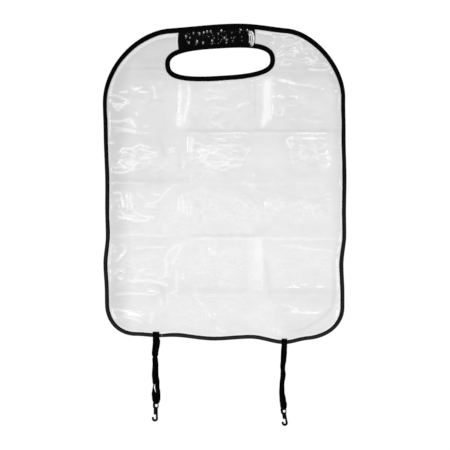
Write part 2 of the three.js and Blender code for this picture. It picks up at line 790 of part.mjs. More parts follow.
const film = new THREE.MeshStandardMaterial({
  color: 0xdde1e2, roughness: 0.12, metalness: 0, transparent: true, opacity: 0.4,
});
const tape = new THREE.MeshStandardMaterial({ color: 0x141415, roughness: 0.7, metalness: 0 });
const elastic = new THREE.MeshStandardMaterial({ color: 0x0c0c0d, roughness: 0.85, metalness: 0 });
const plastic = new THREE.MeshStandardMaterial({ color: 0x101011, roughness: 0.35, metalness: 0 });

function named(name, geometry, material) {
  const mesh = new THREE.Mesh(geometry, material);
  mesh.name = name;
  return mesh;
}

const mat = new THREE.Group();
mat.add(
  named('clear_sheet', clearSheet(), film),
  named('outer_binding', outerBinding(), tape),
  named('opening_binding', innerBinding(), tape),
  named('headrest_band', headrestBand(), elastic),
  named('left_strap', strap(leftStrapPosition, leftRoute, leftStrapLength, 0), elastic),
  named('right_strap', strap(rightStrapPosition, rightRoute, rightStrapLength, rightHookTurn), elastic),
  placedHook('left_hook', leftStrapPosition, leftRoute, leftStrapLength, 0),
  placedHook('right_hook', rightStrapPosition, rightRoute, rightStrapLength, rightHookTurn),
);

// The origin is on the surface, under the middle of the whole object.
mat.updateMatrixWorld(true);
const bounds = new THREE.Box3().setFromObject(mat, true);
const middle = bounds.getCenter(new THREE.Vector3());
mat.position.set(-middle.x, -middle.y, -bounds.min.z);
mat.updateMatrixWorld(true);

export default mat;
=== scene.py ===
"""Looks of the clear seat back protector, laid flat and seen from straight above.

The mat's own places are written in millimetres as in the part: x across, y up from its bottom
line, z up from the surface. Each piece is shifted into the frame when its mesh is made.
"""
import math
from collections import namedtuple

import bmesh
import bpy
import numpy as np
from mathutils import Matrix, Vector
from mathutils.kdtree import KDTree


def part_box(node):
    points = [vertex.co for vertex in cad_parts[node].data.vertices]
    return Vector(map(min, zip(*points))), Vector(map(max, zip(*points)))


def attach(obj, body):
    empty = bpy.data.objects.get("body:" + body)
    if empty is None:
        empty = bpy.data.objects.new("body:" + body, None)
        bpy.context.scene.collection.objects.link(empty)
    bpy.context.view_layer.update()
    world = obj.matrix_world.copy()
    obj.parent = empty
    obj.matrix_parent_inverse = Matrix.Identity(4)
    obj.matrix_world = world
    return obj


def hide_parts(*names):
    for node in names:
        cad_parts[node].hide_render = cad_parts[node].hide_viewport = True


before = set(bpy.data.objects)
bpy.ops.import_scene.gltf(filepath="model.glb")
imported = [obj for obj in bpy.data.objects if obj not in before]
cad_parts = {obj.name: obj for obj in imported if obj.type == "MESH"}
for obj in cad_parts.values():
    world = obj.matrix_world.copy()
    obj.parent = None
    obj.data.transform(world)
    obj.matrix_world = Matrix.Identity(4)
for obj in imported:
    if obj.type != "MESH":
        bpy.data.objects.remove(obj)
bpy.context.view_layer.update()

# Outline of the mat, as in the part. A shoulder is (run across, run down, share of the runs that
# the curve's handles take), a corner is (run across, run up).
MAT_LENGTH = 618
SHOULDER_WIDTH = 478
FOOT_WIDTH = 471
CROWN_OFFSET = 30
CROWN_DROP = 9.5
LEFT_SHOULDER = (132, 146, 0.5)
RIGHT_SHOULDER = (114, 137, 0.47)
LEFT_CORNER = (61, 63)
RIGHT_CORNER = (82, 66)
CORNER_EASE = 0.58
LEFT_SHOULDER_HEIGHT = MAT_LENGTH - CROWN_DROP - LEFT_SHOULDER[1]
RIGHT_SHOULDER_HEIGHT = MAT_LENGTH - CROWN_DROP - RIGHT_SHOULDER[1]

OPENING_LENGTH = 197.5
OPENING_WIDTH = 53.5
OPENING_CENTRE = (-8.6, 542)
OPENING_TILT = 3.4
OPENING_SQUARENESS = 2.78

FILM_THICKNESS = 0.4
CLEARANCE = 0.3
TAPE_THICKNESS = 0.6
SIDE_BINDING = 8.2
CROWN_BINDING = 10
FOOT_NARROWING = 0.5
OPENING_BINDING = 9.8
LEG_GAP = FILM_THICKNESS + 2 * CLEARANCE
EDGE_GAP = TAPE_THICKNESS + CLEARANCE
BINDING_HEIGHT = 2 * TAPE_THICKNESS + LEG_GAP
EDGE_INSET = 2

BAND_THICKNESS = 1
BAND_LEFT = -89
BAND_RIGHT = 58
BAND_END_BOW = 3
BAND_LIFT = BAND_THICKNESS + CLEARANCE
BAND_LIFT_FADE = 40
GATHER_PAST_BAND = 4
GATHER_LEFT = BAND_LEFT - GATHER_PAST_BAND
GATHER_RIGHT = BAND_RIGHT + GATHER_PAST_BAND
FULL_LIFT_HEIGHT = OPENING_CENTRE[1] + OPENING_WIDTH / 4

# Packing folds: heights of those across, and places of those up the mat (above, below) the middle
FOLD_ROWS = [87, 201, 303, 404, 522]
LEFT_FOLD = (-80, -104)
RIGHT_FOLD = (86, 61)

STRAP_WIDTH = 9
STRAP_THICKNESS = 1.1
STRAP_PAST_BINDING = 3
STRAP_OVERLAP = SIDE_BINDING + STRAP_PAST_BINDING
STRAP_NECK = 4
STRAP_RISE_START = 14
STRAP_RISE_END = 2
STRAP_AT_BAR = 8.2
STRAP_NARROWING = 4
HOOK_THICKNESS = 3
EYE_BAR = 2.4
TURN_RADIUS = math.hypot(EYE_BAR, HOOK_THICKNESS) / 2 + CLEARANCE
BAR_LEVEL = STRAP_THICKNESS + TURN_RADIUS

# Each strap's route: (share of its length, drift, half the strands' distance, share of the
# upper strand's width)
LEFT_ROUTE = [
    (0, 0, 2.1, 1), (0.06, 0.8, 2.9, 1), (0.26, -2, 2, 1), (0.33, -1.9, -1.1, 1),
    (0.41, -1.2, -1.3, 1), (0.57, -1.8, -2, 1), (0.69, -0.3, -2.8, 0.9), (0.728, -1.1, -3.3, 0.26),
    (0.774, -1.6, -4.0, 0.3), (0.82, -0.65, -4.3, 0.64), (0.866, -0.1, -4.2, 1),
    (0.94, 0.4, -3.7, 1), (1, 0.7, -2, 1),
]
RIGHT_ROUTE = [
    (0, 0.1, 1.1, 1), (0.13, -0.6, 1.5, 1), (0.24, -1.4, 1.2, 1), (0.35, -3, 0.5, 1),
    (0.47, -2.2, -0.8, 1), (0.63, -4.5, -0.4, 1), (0.74, -4.7, -0.9, 1), (0.86, -3, -1.9, 1),
    (0.94, -1.4, -2.4, 1), (1, -0.9, -1.6, 1),
]
Strap = namedtuple("Strap", "position route length turn eye_length neck_length")
LEFT_STRAP = Strap(-134.7, LEFT_ROUTE, 128.4, 0, 7.6, 14.9)
RIGHT_STRAP = Strap(117.8, RIGHT_ROUTE, 126.7, 10, 6.6, 12.5)
TAPE_JOINT_BESIDE_STRAP = 10.7
TAPE_JOINT = LEFT_STRAP.position + TAPE_JOINT_BESIDE_STRAP
TAPE_JOINT_GAP = 2

# How far the panels have slipped sideways, by height, and how the bottom edge hangs, by place
ROW_SLIP = [
    (43.5, 0.7), (87, 0.4), (144, -2), (201, 3.1), (252, 2.3), (303, 2.8), (404, 0.4),
    (LEFT_SHOULDER_HEIGHT, -0.8),
]
BOTTOM_DIP = [
    (-175, 2.5), (-130, -0.3), (-104, 0.6), (-21, -6.7), (51, -3.1), (117.8, -13.8), (165, -5.9),
]
DIP_START = 162
DIP_FULL = 42


def eased(share):
    t = np.clip(share, 0, 1)
    return t * t * (3 - 2 * t)


def ramp(place, start, full):
    """Rises smoothly from 0 where it starts to 1 where it is full."""
    return eased((place - start) / (full - start))


def eased_through(rows, position, column=1):
    """Smooth value between rows of (position, value, ...), sorted by position."""
    places = np.array([row[0] for row in rows], float)
    values = np.array([row[column] for row in rows], float)
    position = np.asarray(position, float)
    after = np.clip(np.searchsorted(places, position, side="right"), 1, len(rows) - 1)
    share = eased((position - places[after - 1]) / (places[after] - places[after - 1]))
    return values[after - 1] + (values[after] - values[after - 1]) * share


def turned(a, b, angle):
    """A place on a plane, turned round the origin."""
    return a * math.cos(angle) - b * math.sin(angle), a * math.sin(angle) + b * math.cos(angle)


def lattice_noise(x, y, size_x, size_y, seed):
    """Smooth noise between -1 and 1 whose grains are size_x by size_y mm."""
    table = np.random.default_rng(seed).uniform(-1, 1, (64, 64))
    u, v = np.asarray(x) / size_x + 31.7, np.asarray(y) / size_y + 17.3
    i, k = np.floor(u).astype(int), np.floor(v).astype(int)
    a, b = eased(u - i), eased(v - k)
    i, k = i % 64, k % 64
    j, m = (i + 1) % 64, (k + 1) % 64
    low = table[i, k] * (1 - a) + table[j, k] * a
    high = table[i, m] * (1 - a) + table[j, m] * a
    return low * (1 - b) + high * b


def layered_noise(x, y, layers):
    """Sum of several noises, each (size x, size y, seed, amount)."""
    return sum(
        amount * lattice_noise(x, y, size_x, size_y, seed) for size_x, size_y, seed, amount in layers)


def half_width(height):
    share = np.minimum(height / LEFT_SHOULDER_HEIGHT, 1)
    return (FOOT_WIDTH + (SHOULDER_WIDTH - FOOT_WIDTH) * share) / 2


def bottom_edge_at(x):
    return float(eased_through(BOTTOM_DIP, x))


def laid(points):
    """The points of the plain outline, moved to where the unfolded mat lies."""
    x, y = points[:, 0], points[:, 1]
    dip = eased_through(BOTTOM_DIP, x) * ramp(y, DIP_START, DIP_FULL)
    return np.column_stack([x + eased_through(ROW_SLIP, y), y + dip])


def bezier(a, b, c, d, steps=160):
    t = np.linspace(0, 1, steps, endpoint=False)[:, None]
    a, b, c, d = (np.array(point, float) for point in (a, b, c, d))
    return a * (1 - t) ** 3 + 3 * b * t * (1 - t) ** 2 + 3 * c * t * t * (1 - t) + d * t ** 3


def straight(a, b, steps=160):
    t = np.linspace(0, 1, steps, endpoint=False)[:, None]
    return np.array(a, float) * (1 - t) + np.array(b, float) * t


def respaced(points, step, closed):
    """Evenly spaced points along a chain, about a step apart."""
    chain = np.vstack([points, points[:1]]) if closed else points
    reach = np.concatenate([[0], np.cumsum(np.hypot(*np.diff(chain, axis=0).T))])
    count = max(2, round(reach[-1] / step))
    at = np.linspace(0, reach[-1], count, endpoint=not closed)
    return np.column_stack([np.interp(at, reach, chain[:, 0]), np.interp(at, reach, chain[:, 1])])


def side_outline(side, joint, shoulder, shoulder_height, corner):
    """The plain outline from the tape's joint to the crown, on the right for side 1 or the left
    for side -1."""
    full = half_width(MAT_LENGTH)
    foot = side * half_width(corner[1])
    foot_start = (foot - side * corner[0], 0)
    stay = 1 - CORNER_EASE
    side_end = (side * half_width(shoulder_height), shoulder_height)
    x, y = side * (full - shoulder[0]), MAT_LENGTH - CROWN_DROP
    crown_run = side * (x - CROWN_OFFSET)
    slope, third = CROWN_DROP / crown_run, crown_run / 3
    handle = shoulder[0] * shoulder[2]
    return np.vstack([
        straight(joint, foot_start),
        bezier(
            foot_start, (foot - side * corner[0] * stay, 0),
            (foot, corner[1] * stay), (foot, corner[1]),
        ),
        straight((foot, corner[1]), side_end),
        bezier(
            side_end, (side * full, shoulder_height + shoulder[1] * shoulder[2]),
            (x + side * handle, y - handle * slope), (x, y),
        ),
        bezier(
            (x, y), (x - side * third, y + third * slope),
            (CROWN_OFFSET + side * third, MAT_LENGTH), (CROWN_OFFSET, MAT_LENGTH),
        ),
    ])


def outer_edge():
    """The mat's edge, anticlockwise from the right side of the tape's joint to its left side."""
    joint = TAPE_JOINT_GAP / 2
    right = side_outline(
        1, (TAPE_JOINT + joint, 0), RIGHT_SHOULDER, RIGHT_SHOULDER_HEIGHT, RIGHT_CORNER)
    left = side_outline(
        -1, (TAPE_JOINT - joint, 0), LEFT_SHOULDER, LEFT_SHOULDER_HEIGHT, LEFT_CORNER)
    return laid(np.vstack([right, [(CROWN_OFFSET, MAT_LENGTH)], left[::-1]]))


def opening_edge():
    angle = np.linspace(0, 2 * math.pi, 1440, endpoint=False)
    power = 2 / OPENING_SQUARENESS
    along = OPENING_LENGTH / 2 * np.sign(np.cos(angle)) * np.abs(np.cos(angle)) ** power
    across = OPENING_WIDTH / 2 * np.sign(np.sin(angle)) * np.abs(np.sin(angle)) ** power
    x, y = turned(along, across, math.radians(OPENING_TILT))
    return np.column_stack([OPENING_CENTRE[0] + x, OPENING_CENTRE[1] + y])


def inward_normals(points, closed):
    """Normals towards the film, from the open outer edge or the closed edge of the opening."""
    if closed:
        along = np.roll(points, -1, 0) - np.roll(points, 1, 0)
    else:
        along = np.vstack([
            points[1] - points[0], points[2:] - points[:-2], points[-1] - points[-2]])
    along /= np.hypot(along[:, 0], along[:, 1])[:, None]
    return np.column_stack([-along[:, 1], along[:, 0]]) * (-1 if closed else 1)


RIM_STEP = 1


class Rim:
    """A dense chain along an edge of the film, which tells how deep inside it a place lies."""

    def __init__(self, points, closed):
        self.points = respaced(points, RIM_STEP, closed)
        self.inward = inward_normals(self.points, closed)
        self.tree = KDTree(len(self.points))
        for index, (x, y) in enumerate(self.points):
            self.tree.insert((x, y, 0), index)
        self.tree.balance()

    def depth(self, places):
        found = [self.tree.find((x, y, 0)) for x, y in places]
        index = np.array([item[1] for item in found])
        distance = np.array([item[2] for item in found])
        inside = ((places - self.points[index]) * self.inward[index]).sum(1) >= 0
        return np.where(inside, distance, -distance), index


outline = outer_edge()
slot_outline = opening_edge()
edge_rim = Rim(outline, False)
opening_rim = Rim(slot_outline, True)

# From the mat's own millimetres to the frame, found from the outer binding's box
low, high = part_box("outer_binding")
mat_middle = (outline.min(0) + outline.max(0)) / 2
frame_middle = np.array([(low.x + high.x) / 2, (low.y + high.y) / 2]) * 1000
shift = np.array([*(frame_middle - mat_middle), 0.0])

# The two edges that the band lies between, sorted from left to right
CROWN_DEPTH = 60
ABOVE_OPENING = 10
crown_part = outline[outline[:, 1] > MAT_LENGTH - CROWN_DEPTH]
crown_part = crown_part[np.argsort(crown_part[:, 0])]
slot_upper = slot_outline[slot_outline[:, 1] > OPENING_CENTRE[1] + ABOVE_OPENING]
slot_upper = slot_upper[np.argsort(slot_upper[:, 0])]


def lift(x, y):
    """How far the elastic band behind the film lifts the film and the tape's upper leg."""
    along = np.minimum(
        ramp(x, GATHER_LEFT - BAND_LIFT_FADE, GATHER_LEFT),
        ramp(x, GATHER_RIGHT + BAND_LIFT_FADE, GATHER_RIGHT),
    )
    return BAND_LIFT * along * ramp(y, FULL_LIFT_HEIGHT - BAND_LIFT_FADE, FULL_LIFT_HEIGHT)


def binding_width(y):
    share = ramp(y, LEFT_SHOULDER_HEIGHT, MAT_LENGTH)
    return SIDE_BINDING + (CROWN_BINDING - SIDE_BINDING) * share - FOOT_NARROWING * ramp(y, 40, 10)


def opening_binding_width(y):
    return np.full(np.shape(y), float(OPENING_BINDING))


# Places of the marks in the film, in mm. Each line is (points, rise in mm, tone and painted light), the
# folds carrying painted light lines.
PACKING_FOLDS = [
    ([(-88, 504), (-88, 459), (-89, 440), (-93, 414)], 0.5, 0.36),
    ([(-72, 502), (-70, 481), (-72, 459), (-76, 438), (-80, 421)], 0.5, 0.44),
    ([(-84, 440), (-86, 430), (-90, 416)], 0.3, 0.45),
    ([(75, 510), (76, 459), (72, 416)], 0.25, 0.04),
    ([(96, 512), (95, 459), (88, 428), (72, 410)], 0.4, 0.12), ([(-72, 396), (-71, 363)], 0.5, 0.2),
    ([(-64, 396), (-65, 361)], 0.6, 0.45), ([(46, 191), (47, 142), (46, 92)], 0.15, 0.02),
    ([(75, 191), (74, 142), (74, 92)], 0.25, 0.05),
    ([(-71, 190), (-80, 186), (-104, 175), (-113, 161), (-116, 150), (-116, 113)], 0.5, 0.24),
    ([(-80, 181), (-89, 173), (-94, 161), (-101, 150), (-102, 135)], 0.4, 0.22),
    ([(-94, 133), (-94, 89)], 0.4, 0.20),
]
# Wrinkles beside the opening and in the panels, each kind of one strength, each with painted light
# along it
FAN_WRINKLES = [
    [(98, 585), (102, 591), (108, 595)], [(100, 566), (121, 573), (143, 579)],
    [(113, 544), (129, 546), (149, 541), (169, 542)], [(155, 573), (169, 564), (180, 550)],
    [(96, 554), (117, 558), (141, 556)], [(121, 589), (143, 575), (161, 556)],
    [(102, 538), (133, 534), (173, 536), (206, 532)], [(149, 585), (169, 575), (188, 560)],
    [(-198, 535), (-159, 535), (-119, 534)], [(-198, 524), (-157, 525), (-115, 523)],
    [(110, 524), (161, 524), (214, 524)],
]
PANEL_WRINKLES = [
    [(-32, 489), (-17, 483), (-1, 485)], [(-34, 455), (-13, 451), (17, 449)],
    [(-32, 428), (-19, 420), (1, 410)], [(-42, 471), (-21, 469), (7, 471)],
    [(149, 431), (173, 424), (200, 426)], [(-64, 386), (-32, 376), (11, 378)],
    [(-60, 368), (-25, 364), (7, 353)], [(-56, 349), (-21, 343), (11, 349)],
    [(-48, 394), (-21, 392), (3, 386)], [(52, 378), (42, 357), (29, 333)],
    [(121, 390), (129, 374), (137, 386)], [(143, 366), (159, 368)], [(151, 380), (150, 355)],
    [(173, 382), (188, 372), (204, 384)], [(177, 364), (192, 361), (204, 368)],
    [(186, 343), (198, 337), (206, 343)], [(104, 183), (149, 177), (222, 167)],
    [(-32, 173), (-23, 167), (-16, 162)], [(-111, 87), (-101, 89), (-92, 92)],
    [(-60, 78), (-50, 71), (-40, 63)], [(98, 18), (99, 5)], [(105, 18), (106, 4)],
    [(110, 16), (110, 3)], [(111, 65), (127, 61), (145, 57)], [(-32, 47), (-27, 41), (-19, 37)],
    [(-19, 23), (-7, 14), (6, 8)],
]
# Wrinkles whose catch of the light is painted as a light line, with a painted shade below: (points,
# tone and painted light)
BRIGHT_WRINKLES = [
    ([(-184, 494), (-175, 486), (-162, 494)], 0.55),
    ([(-180, 491), (-175, 488), (-169, 491)], 0.35),
    ([(-228, 476), (-215, 477), (-205, 473), (-192, 466), (-185, 459)], 0.50),
    ([(-228, 473), (-221, 462), (-213, 449), (-208, 447), (-201, 455), (-192, 461), (-185, 457)], 0.50),
    ([(-217, 462), (-211, 455), (-206, 462)], 0.35),
    ([(-142, 496), (-138, 484), (-136, 467)], 0.45), ([(-126, 503), (-124, 497)], 0.30),
    ([(-174, 444), (-172, 435)], 0.50), ([(-166, 462), (-160, 462)], 0.30),
    ([(-228, 426), (-202, 426), (-186, 430), (-179, 420), (-171, 411)], 0.50),
    ([(-196, 424), (-184, 423), (-176, 414)], 0.40),
    ([(-222, 414), (-209, 412), (-189, 409), (-170, 404)], 0.50),
    ([(-220, 407), (-205, 407), (-187, 405), (-172, 402)], 0.45),
    ([(-161, 413), (-149, 417)], 0.30), ([(-225, 383), (-217, 383)], 0.50),
    ([(-206, 370), (-188, 371), (-177, 374), (-167, 379), (-158, 376), (-142, 371)], 0.50),
    ([(-206, 369), (-199, 366), (-190, 363)], 0.35),
    ([(-184, 370), (-175, 366), (-176, 361)], 0.35),
    ([(-174, 369), (-162, 370), (-152, 367), (-142, 364), (-129, 363)], 0.45),
    ([(-159, 358), (-142, 360), (-129, 358)], 0.30),
    ([(-173, 352), (-164, 353), (-142, 354), (-129, 357)], 0.30),
    ([(-203, 358), (-188, 360), (-174, 356)], 0.25),
    ([(-209, 348), (-203, 342), (-197, 336), (-191, 331)], 0.55),
    ([(-205, 352), (-196, 345), (-183, 346), (-174, 348)], 0.40),
    ([(-196, 342), (-183, 339), (-173, 338)], 0.30),
    ([(-221, 334), (-190, 334), (-174, 336)], 0.30),
    ([(-221, 326), (-211, 324), (-199, 324), (-190, 327), (-186, 330), (-174, 333)], 0.60),
    ([(-111, 367), (-103, 372), (-96, 370)], 0.40), ([(-111, 361), (-104, 365), (-96, 366)], 0.35),
    ([(-221, 282), (-214, 285), (-206, 284), (-202, 275), (-198, 264), (-198, 252)], 0.55),
    ([(-192, 286), (-191, 264), (-190, 248)], 0.45),
    ([(-186, 286), (-184, 264), (-180, 248)], 0.50), ([(-213, 270), (-209, 268)], 0.55),
    ([(-208, 259), (-205, 255)], 0.45),
    ([(-181, 248), (-171, 243), (-158, 238), (-144, 236), (-135, 237)], 0.50),
    ([(-212, 247), (-201, 247), (-197, 240), (-180, 239), (-171, 238)], 0.40),
    ([(-214, 242), (-207, 237), (-192, 235), (-180, 232), (-171, 230), (-156, 229), (-144, 234)], 0.50),
    ([(-158, 264), (-144, 263), (-133, 267), (-126, 273), (-119, 282), (-110, 291), (-101, 298)], 0.30),
    ([(-158, 257), (-144, 258), (-133, 257)], 0.20),
    ([(-142, 284), (-133, 280), (-126, 281)], 0.35), ([(-173, 284), (-160, 275)], 0.20),
    ([(-90, 277), (-90, 247)], 0.45), ([(-85, 282), (-82, 268), (-81, 241)], 0.42),
    ([(-76, 261), (-72, 239)], 0.25), ([(-67, 259), (-65, 239)], 0.25),
    ([(-220, 170), (-213, 168)], 0.50), ([(-192, 173), (-205, 157), (-216, 147)], 0.45),
    ([(-205, 183), (-192, 175)], 0.35), ([(-222, 181), (-214, 176)], 0.30),
    ([(-185, 173), (-150, 177), (-113, 177)], 0.26), ([(-82, 127), (-82, 111)], 0.30),
    ([(-190, 111), (-148, 112), (-135, 108), (-114, 102), (-112, 94)], 0.40),
    ([(-172, 127), (-157, 135), (-146, 133)], 0.25), ([(-174, 123), (-146, 123)], 0.18),
    ([(-159, 152), (-146, 157), (-128, 159)], 0.18),
    ([(-218, 124), (-207, 130), (-192, 135)], 0.35), ([(-209, 118), (-198, 116)], 0.40),
    ([(-216, 133), (-200, 135)], 0.25), ([(-126, 76), (-124, 59)], 0.28),
    ([(-114, 85), (-113, 63)], 0.22), ([(-222, 55), (-194, 53), (-172, 45), (-161, 39)], 0.40),
    ([(-206, 42), (-180, 36), (-160, 28)], 0.35), ([(-216, 44), (-200, 30)], 0.25),
    ([(100, 510), (117, 504), (139, 498), (162, 496), (187, 491)], 0.36),
    ([(106, 507), (118, 503)], 0.30), ([(191, 489), (196, 488)], 0.55),
    ([(217, 486), (222, 484)], 0.65), ([(106, 476), (118, 471)], 0.55),
    ([(97, 442), (108, 435)], 0.30), ([(112, 440), (116, 437)], 0.50),
    ([(115, 451), (117, 439)], 0.28), ([(174, 438), (187, 438)], 0.16),
]
# Broad soft patches of painted light: (x, y, half width, half height, tone and painted light)
PAINTED_LIGHT_PATCHES = [
    (-174, 41, 15, 8, 0.24), (-144, 37, 4, 11, 0.26), (152, 470, 8, 7, 0.12),
    (-88, 428, 5, 12, 0.20), (-211, 457, 6, 5, 0.16), (-184, 424, 8, 5, 0.16),
]
# Creases with painted shade along them: (points, rise in mm, tone and painted light)
DARK_CREASES = [
    ([(212, 159), (215, 112), (214, 67), (206, 52), (180, 29), (155, 16), (124, 8)], -0.2, -0.26),
    ([(-125, 386), (-121, 368), (-117, 353)], -0.4, -0.16),
    ([(-92, 368), (-88, 349), (-86, 327)], -0.4, -0.16),
    ([(80, 159), (86, 122), (91, 73)], -0.4, -0.16),
    ([(58, 607), (61, 595), (58, 581)], -0.5, -0.16),
    ([(49, 500), (49, 462), (50, 425)], -0.2, -0.12),
    ([(60, 500), (59, 462), (60, 425)], -0.2, -0.16),
    ([(-126, 105), (-120, 85), (-115, 68)], -0.3, -0.16),
]
# Small ring-shaped dents, each with a painted light ring
DIMPLES = [(52, 321), (-117, 214), (86, 262), (-25, 169), (129, 384)]
# Puckers of the gathered film, with glints painted on them: (x, y, radius)
PUCKERS = [
    (-76, 593, 2.4), (-68, 590, 2.0), (-61, 599, 2.2), (-49, 598, 2.6), (-41, 600, 2.4),
    (-34, 602, 2.6), (-27, 603, 2.2), (-6, 604, 2.6), (-12, 598, 2.0), (32, 606, 2.6),
    (45, 605, 2.4), (-70, 580, 2.4), (-54, 582, 3.2), (-42, 580, 2.8), (-24, 584, 2.8),
    (-24, 577, 2.6), (-12, 577, 2.6), (0, 590, 2.6), (4, 586, 2.4), (4, 579, 2.4),
]
SMALL_PUCKERS = 44
pucker_dice = np.random.default_rng(19)
PUCKERS += [
    (pucker_dice.uniform(-80, 40), pucker_dice.uniform(573, 604), pucker_dice.uniform(0.7, 1.2))
    for _ in range(SMALL_PUCKERS)]
# Creases across the mat, each with a painted light line: (from x, to x, y, rise, tone and painted
# light)
CROSS_CREASES = [
    (-225, -100, 522, 0.5, 0.06), (110, 215, 520, 0.5, 0.06), (-100, 232, 401.5, 0.3, 0.16),
    (-225, -120, 402, 0.3, 0.10), (-224, -150, 303, 0.8, 0.28), (-150, 230, 301.5, 0.25, 0.10),
    (-222, -107, 201, 0.5, 0.26), (-80, 230, 194, 0.35, 0.22), (-222, -127, 85.6, 0.5, 0.42),
    (-115, 222, 82, 0.15, 0.12),
]
# Painted shades beside them: (from x, to x, y, width, tone and painted light)
CROSS_SHADES = [
    (-98, 232, 406.5, 2.6, -0.22), (-222, -60, 308, 6, -0.16), (-80, 78, 201.5, 1.8, -0.24),
    (85, 225, 91, 6, -0.10), (-130, 60, 92, 3, -0.08), (110, 214, 531, 10, -0.12),
    (-225, -100, 529, 6, -0.10),
]
# Patches of fine wrinkles: (centre x, y, half width, half height, direction in degrees, count,
# length)
WRINKLE_PATCHES = [
    (-205, 463, 18, 20, -30, 7, 24), (-198, 416, 26, 12, 8, 8, 34), (-184, 353, 40, 30, 4, 22, 44),
    (-190, 262, 34, 30, 12, 8, 26), (-190, 232, 40, 9, -6, 5, 50), (-176, 126, 50, 28, -8, 14, 48),
    (-182, 38, 40, 24, -22, 12, 38), (-8, 452, 50, 42, 10, 22, 26), (-10, 358, 56, 38, 9, 24, 44),
    (-50, 258, 40, 34, 80, 9, 24), (60, 264, 60, 36, 35, 12, 22), (162, 362, 42, 34, -40, 13, 18),
    (166, 462, 52, 40, -18, 8, 24), (166, 262, 46, 34, -70, 10, 22), (-84, 150, 30, 36, 70, 8, 26),
    (0, 140, 70, 38, 5, 9, 30), (160, 138, 50, 40, -8, 8, 34), (-20, 40, 50, 26, -35, 10, 24),
    (130, 38, 60, 24, 20, 12, 26), (-60, 340, 26, 30, 70, 7, 24), (48, 470, 18, 36, 80, 6, 24),
    (-150, 478, 40, 22, 60, 8, 18), (-130, 330, 24, 20, 60, 5, 20), (-128, 120, 26, 40, -10, 7, 30),
]
# Flats between doubled folds, with painted light on them: (middle, half width, from y, to y, rise, tone
# and painted light)
FOLD_FLATS = [
    (-80, 10.5, 412, 506, 0.8, 0.10), (-68, 4, 358, 398, 0.5, 0.12),
    (60.5, 14.5, 92, 193, 0.6, 0), (68, 7, 150, 193, 0, 0.10),
]
# Smoother stretches of film: (share of the relief taken off, ramps), each ramp (axis, start, full)
CALM_STRETCHES = [
    (0.85, [("x", -76, -96), ("y", 460, 520)]),
    (0.7, [("y", 60, 34)]),
    (0.6, [("x", 95, 135), ("y", 64, 34)]),
    (0.6, [("x", -64, -40), ("x", 68, 44), ("y", 416, 436), ("y", 524, 508)]),
    (0.6, [("x", 130, 154), ("y", 416, 436), ("y", 524, 508)]),
    (0.6, [("x", 96, 108), ("y", 80, 86), ("y", 104, 94)]),
]
# Stretches of film with painted light and painted shade: (tone and painted light, ramps)
PAINTED_LIGHT_AND_SHADE_STRETCHES = [
    (-0.44, [("x", -176, -216)]), (-0.24, [("x", 208, 230), ("y", 60, 120)]),
    (0.06, [("x", -130, -100), ("x", 130, 100)]), (-0.20, [("x", 196, 216), ("y", 490, 510)]),
]
# Painted light and shade in the film's tone, by height up the mat: lighter low down, darker towards the
# crown
PAINTED_LIGHT_BY_HEIGHT = [
    (0, 0.60), (60, 0.64), (87, 0.60), (145, 0.70), (201, 0.62), (250, 0.64), (303, 0.54),
    (350, 0.54), (404, 0.40), (450, 0.45), (500, 0.38), (522, 0.22), (560, 0.14), (600, 0.04),
]


LINE_STEP = 6
LINE_REACH = 3.2


def smooth_line(points):
    """A curve through the given points."""
    points = np.array(points, float)
    if len(points) < 3:
        return points
    ends = np.vstack([2 * points[0] - points[1], points, 2 * points[-1] - points[-2]])
    curve = []
    for a, b, c, d in zip(ends[:-3], ends[1:-2], ends[2:-1], ends[3:]):
        steps = max(2, int(math.dist(b, c) / LINE_STEP))
        t = np.linspace(0, 1, steps, endpoint=False)[:, None]
        curve.append(0.5 * (2 * b + (c - a) * t + (2 * a - 5 * b + 4 * c - d) * t ** 2
                            + (3 * b - a - 3 * c + d) * t ** 3))
    return np.vstack([*curve, points[-1:]])


def press_line(field, x, y, line, width, amount):
    """Adds a soft line to a field, strongest in its middle."""
    chain = smooth_line(line)
    reach = LINE_REACH * width
    near = ((x > chain[:, 0].min() - reach) & (x < chain[:, 0].max() + reach)
            & (y > chain[:, 1].min() - reach) & (y < chain[:, 1].max() + reach))
    px, py = x[near], y[near]
    best = np.full(px.shape, 1e9)
    share = np.zeros(px.shape)
    lengths = np.hypot(*np.diff(chain, axis=0).T)
    total, before = lengths.sum(), 0.0
    for (ax, ay), (bx, by), length in zip(chain[:-1], chain[1:], lengths):
        dx, dy = bx - ax, by - ay
        t = np.clip(((px - ax) * dx + (py - ay) * dy) / length ** 2, 0, 1)
        away = np.hypot(px - ax - t * dx, py - ay - t * dy)
        closer = away < best
        best[closer] = away[closer]
        share[closer] = (before + t[closer] * length) / total
        before += length
    taper = eased(np.minimum(share, 1 - share) * 6 + 0.15)
    field[near] += amount * taper * np.exp(-0.5 * (best / width) ** 2)


def scattered_wrinkles():
    """Short wavy lines of the wrinkle patches, each with its own strength."""
    dice = np.random.default_rng(77)
    lines = []
    for centre_x, centre_y, half_x, half_y, direction, count, length in WRINKLE_PATCHES:
        low_down = centre_y < 60 or (centre_x > -120 and centre_y < 300)
        strength = 0.5 if low_down or centre_x < -140 else 1
        for _ in range(count):
            turn = math.radians(direction + dice.normal(0, 13))
            reach = length * dice.uniform(0.45, 1.15)
            x, y = centre_x + half_x * dice.uniform(-1, 1), centre_y + half_y * dice.uniform(-1, 1)
            line = []
            for share in np.linspace(-0.5, 0.5, 5):
                along, sway = turned(reach * share, dice.normal(0, 1.3), turn)
                line.append((x + along, y + sway))
            lines.append((line, strength * dice.uniform(0.3, 1)))
    return lines


def fold_place(pair, y):
    """Where a fold that runs up the mat lies: it steps sideways half way up."""
    upper, lower = pair
    return lower + (upper - lower) * eased((y - FOLD_ROWS[2]) / 14 + 0.5)


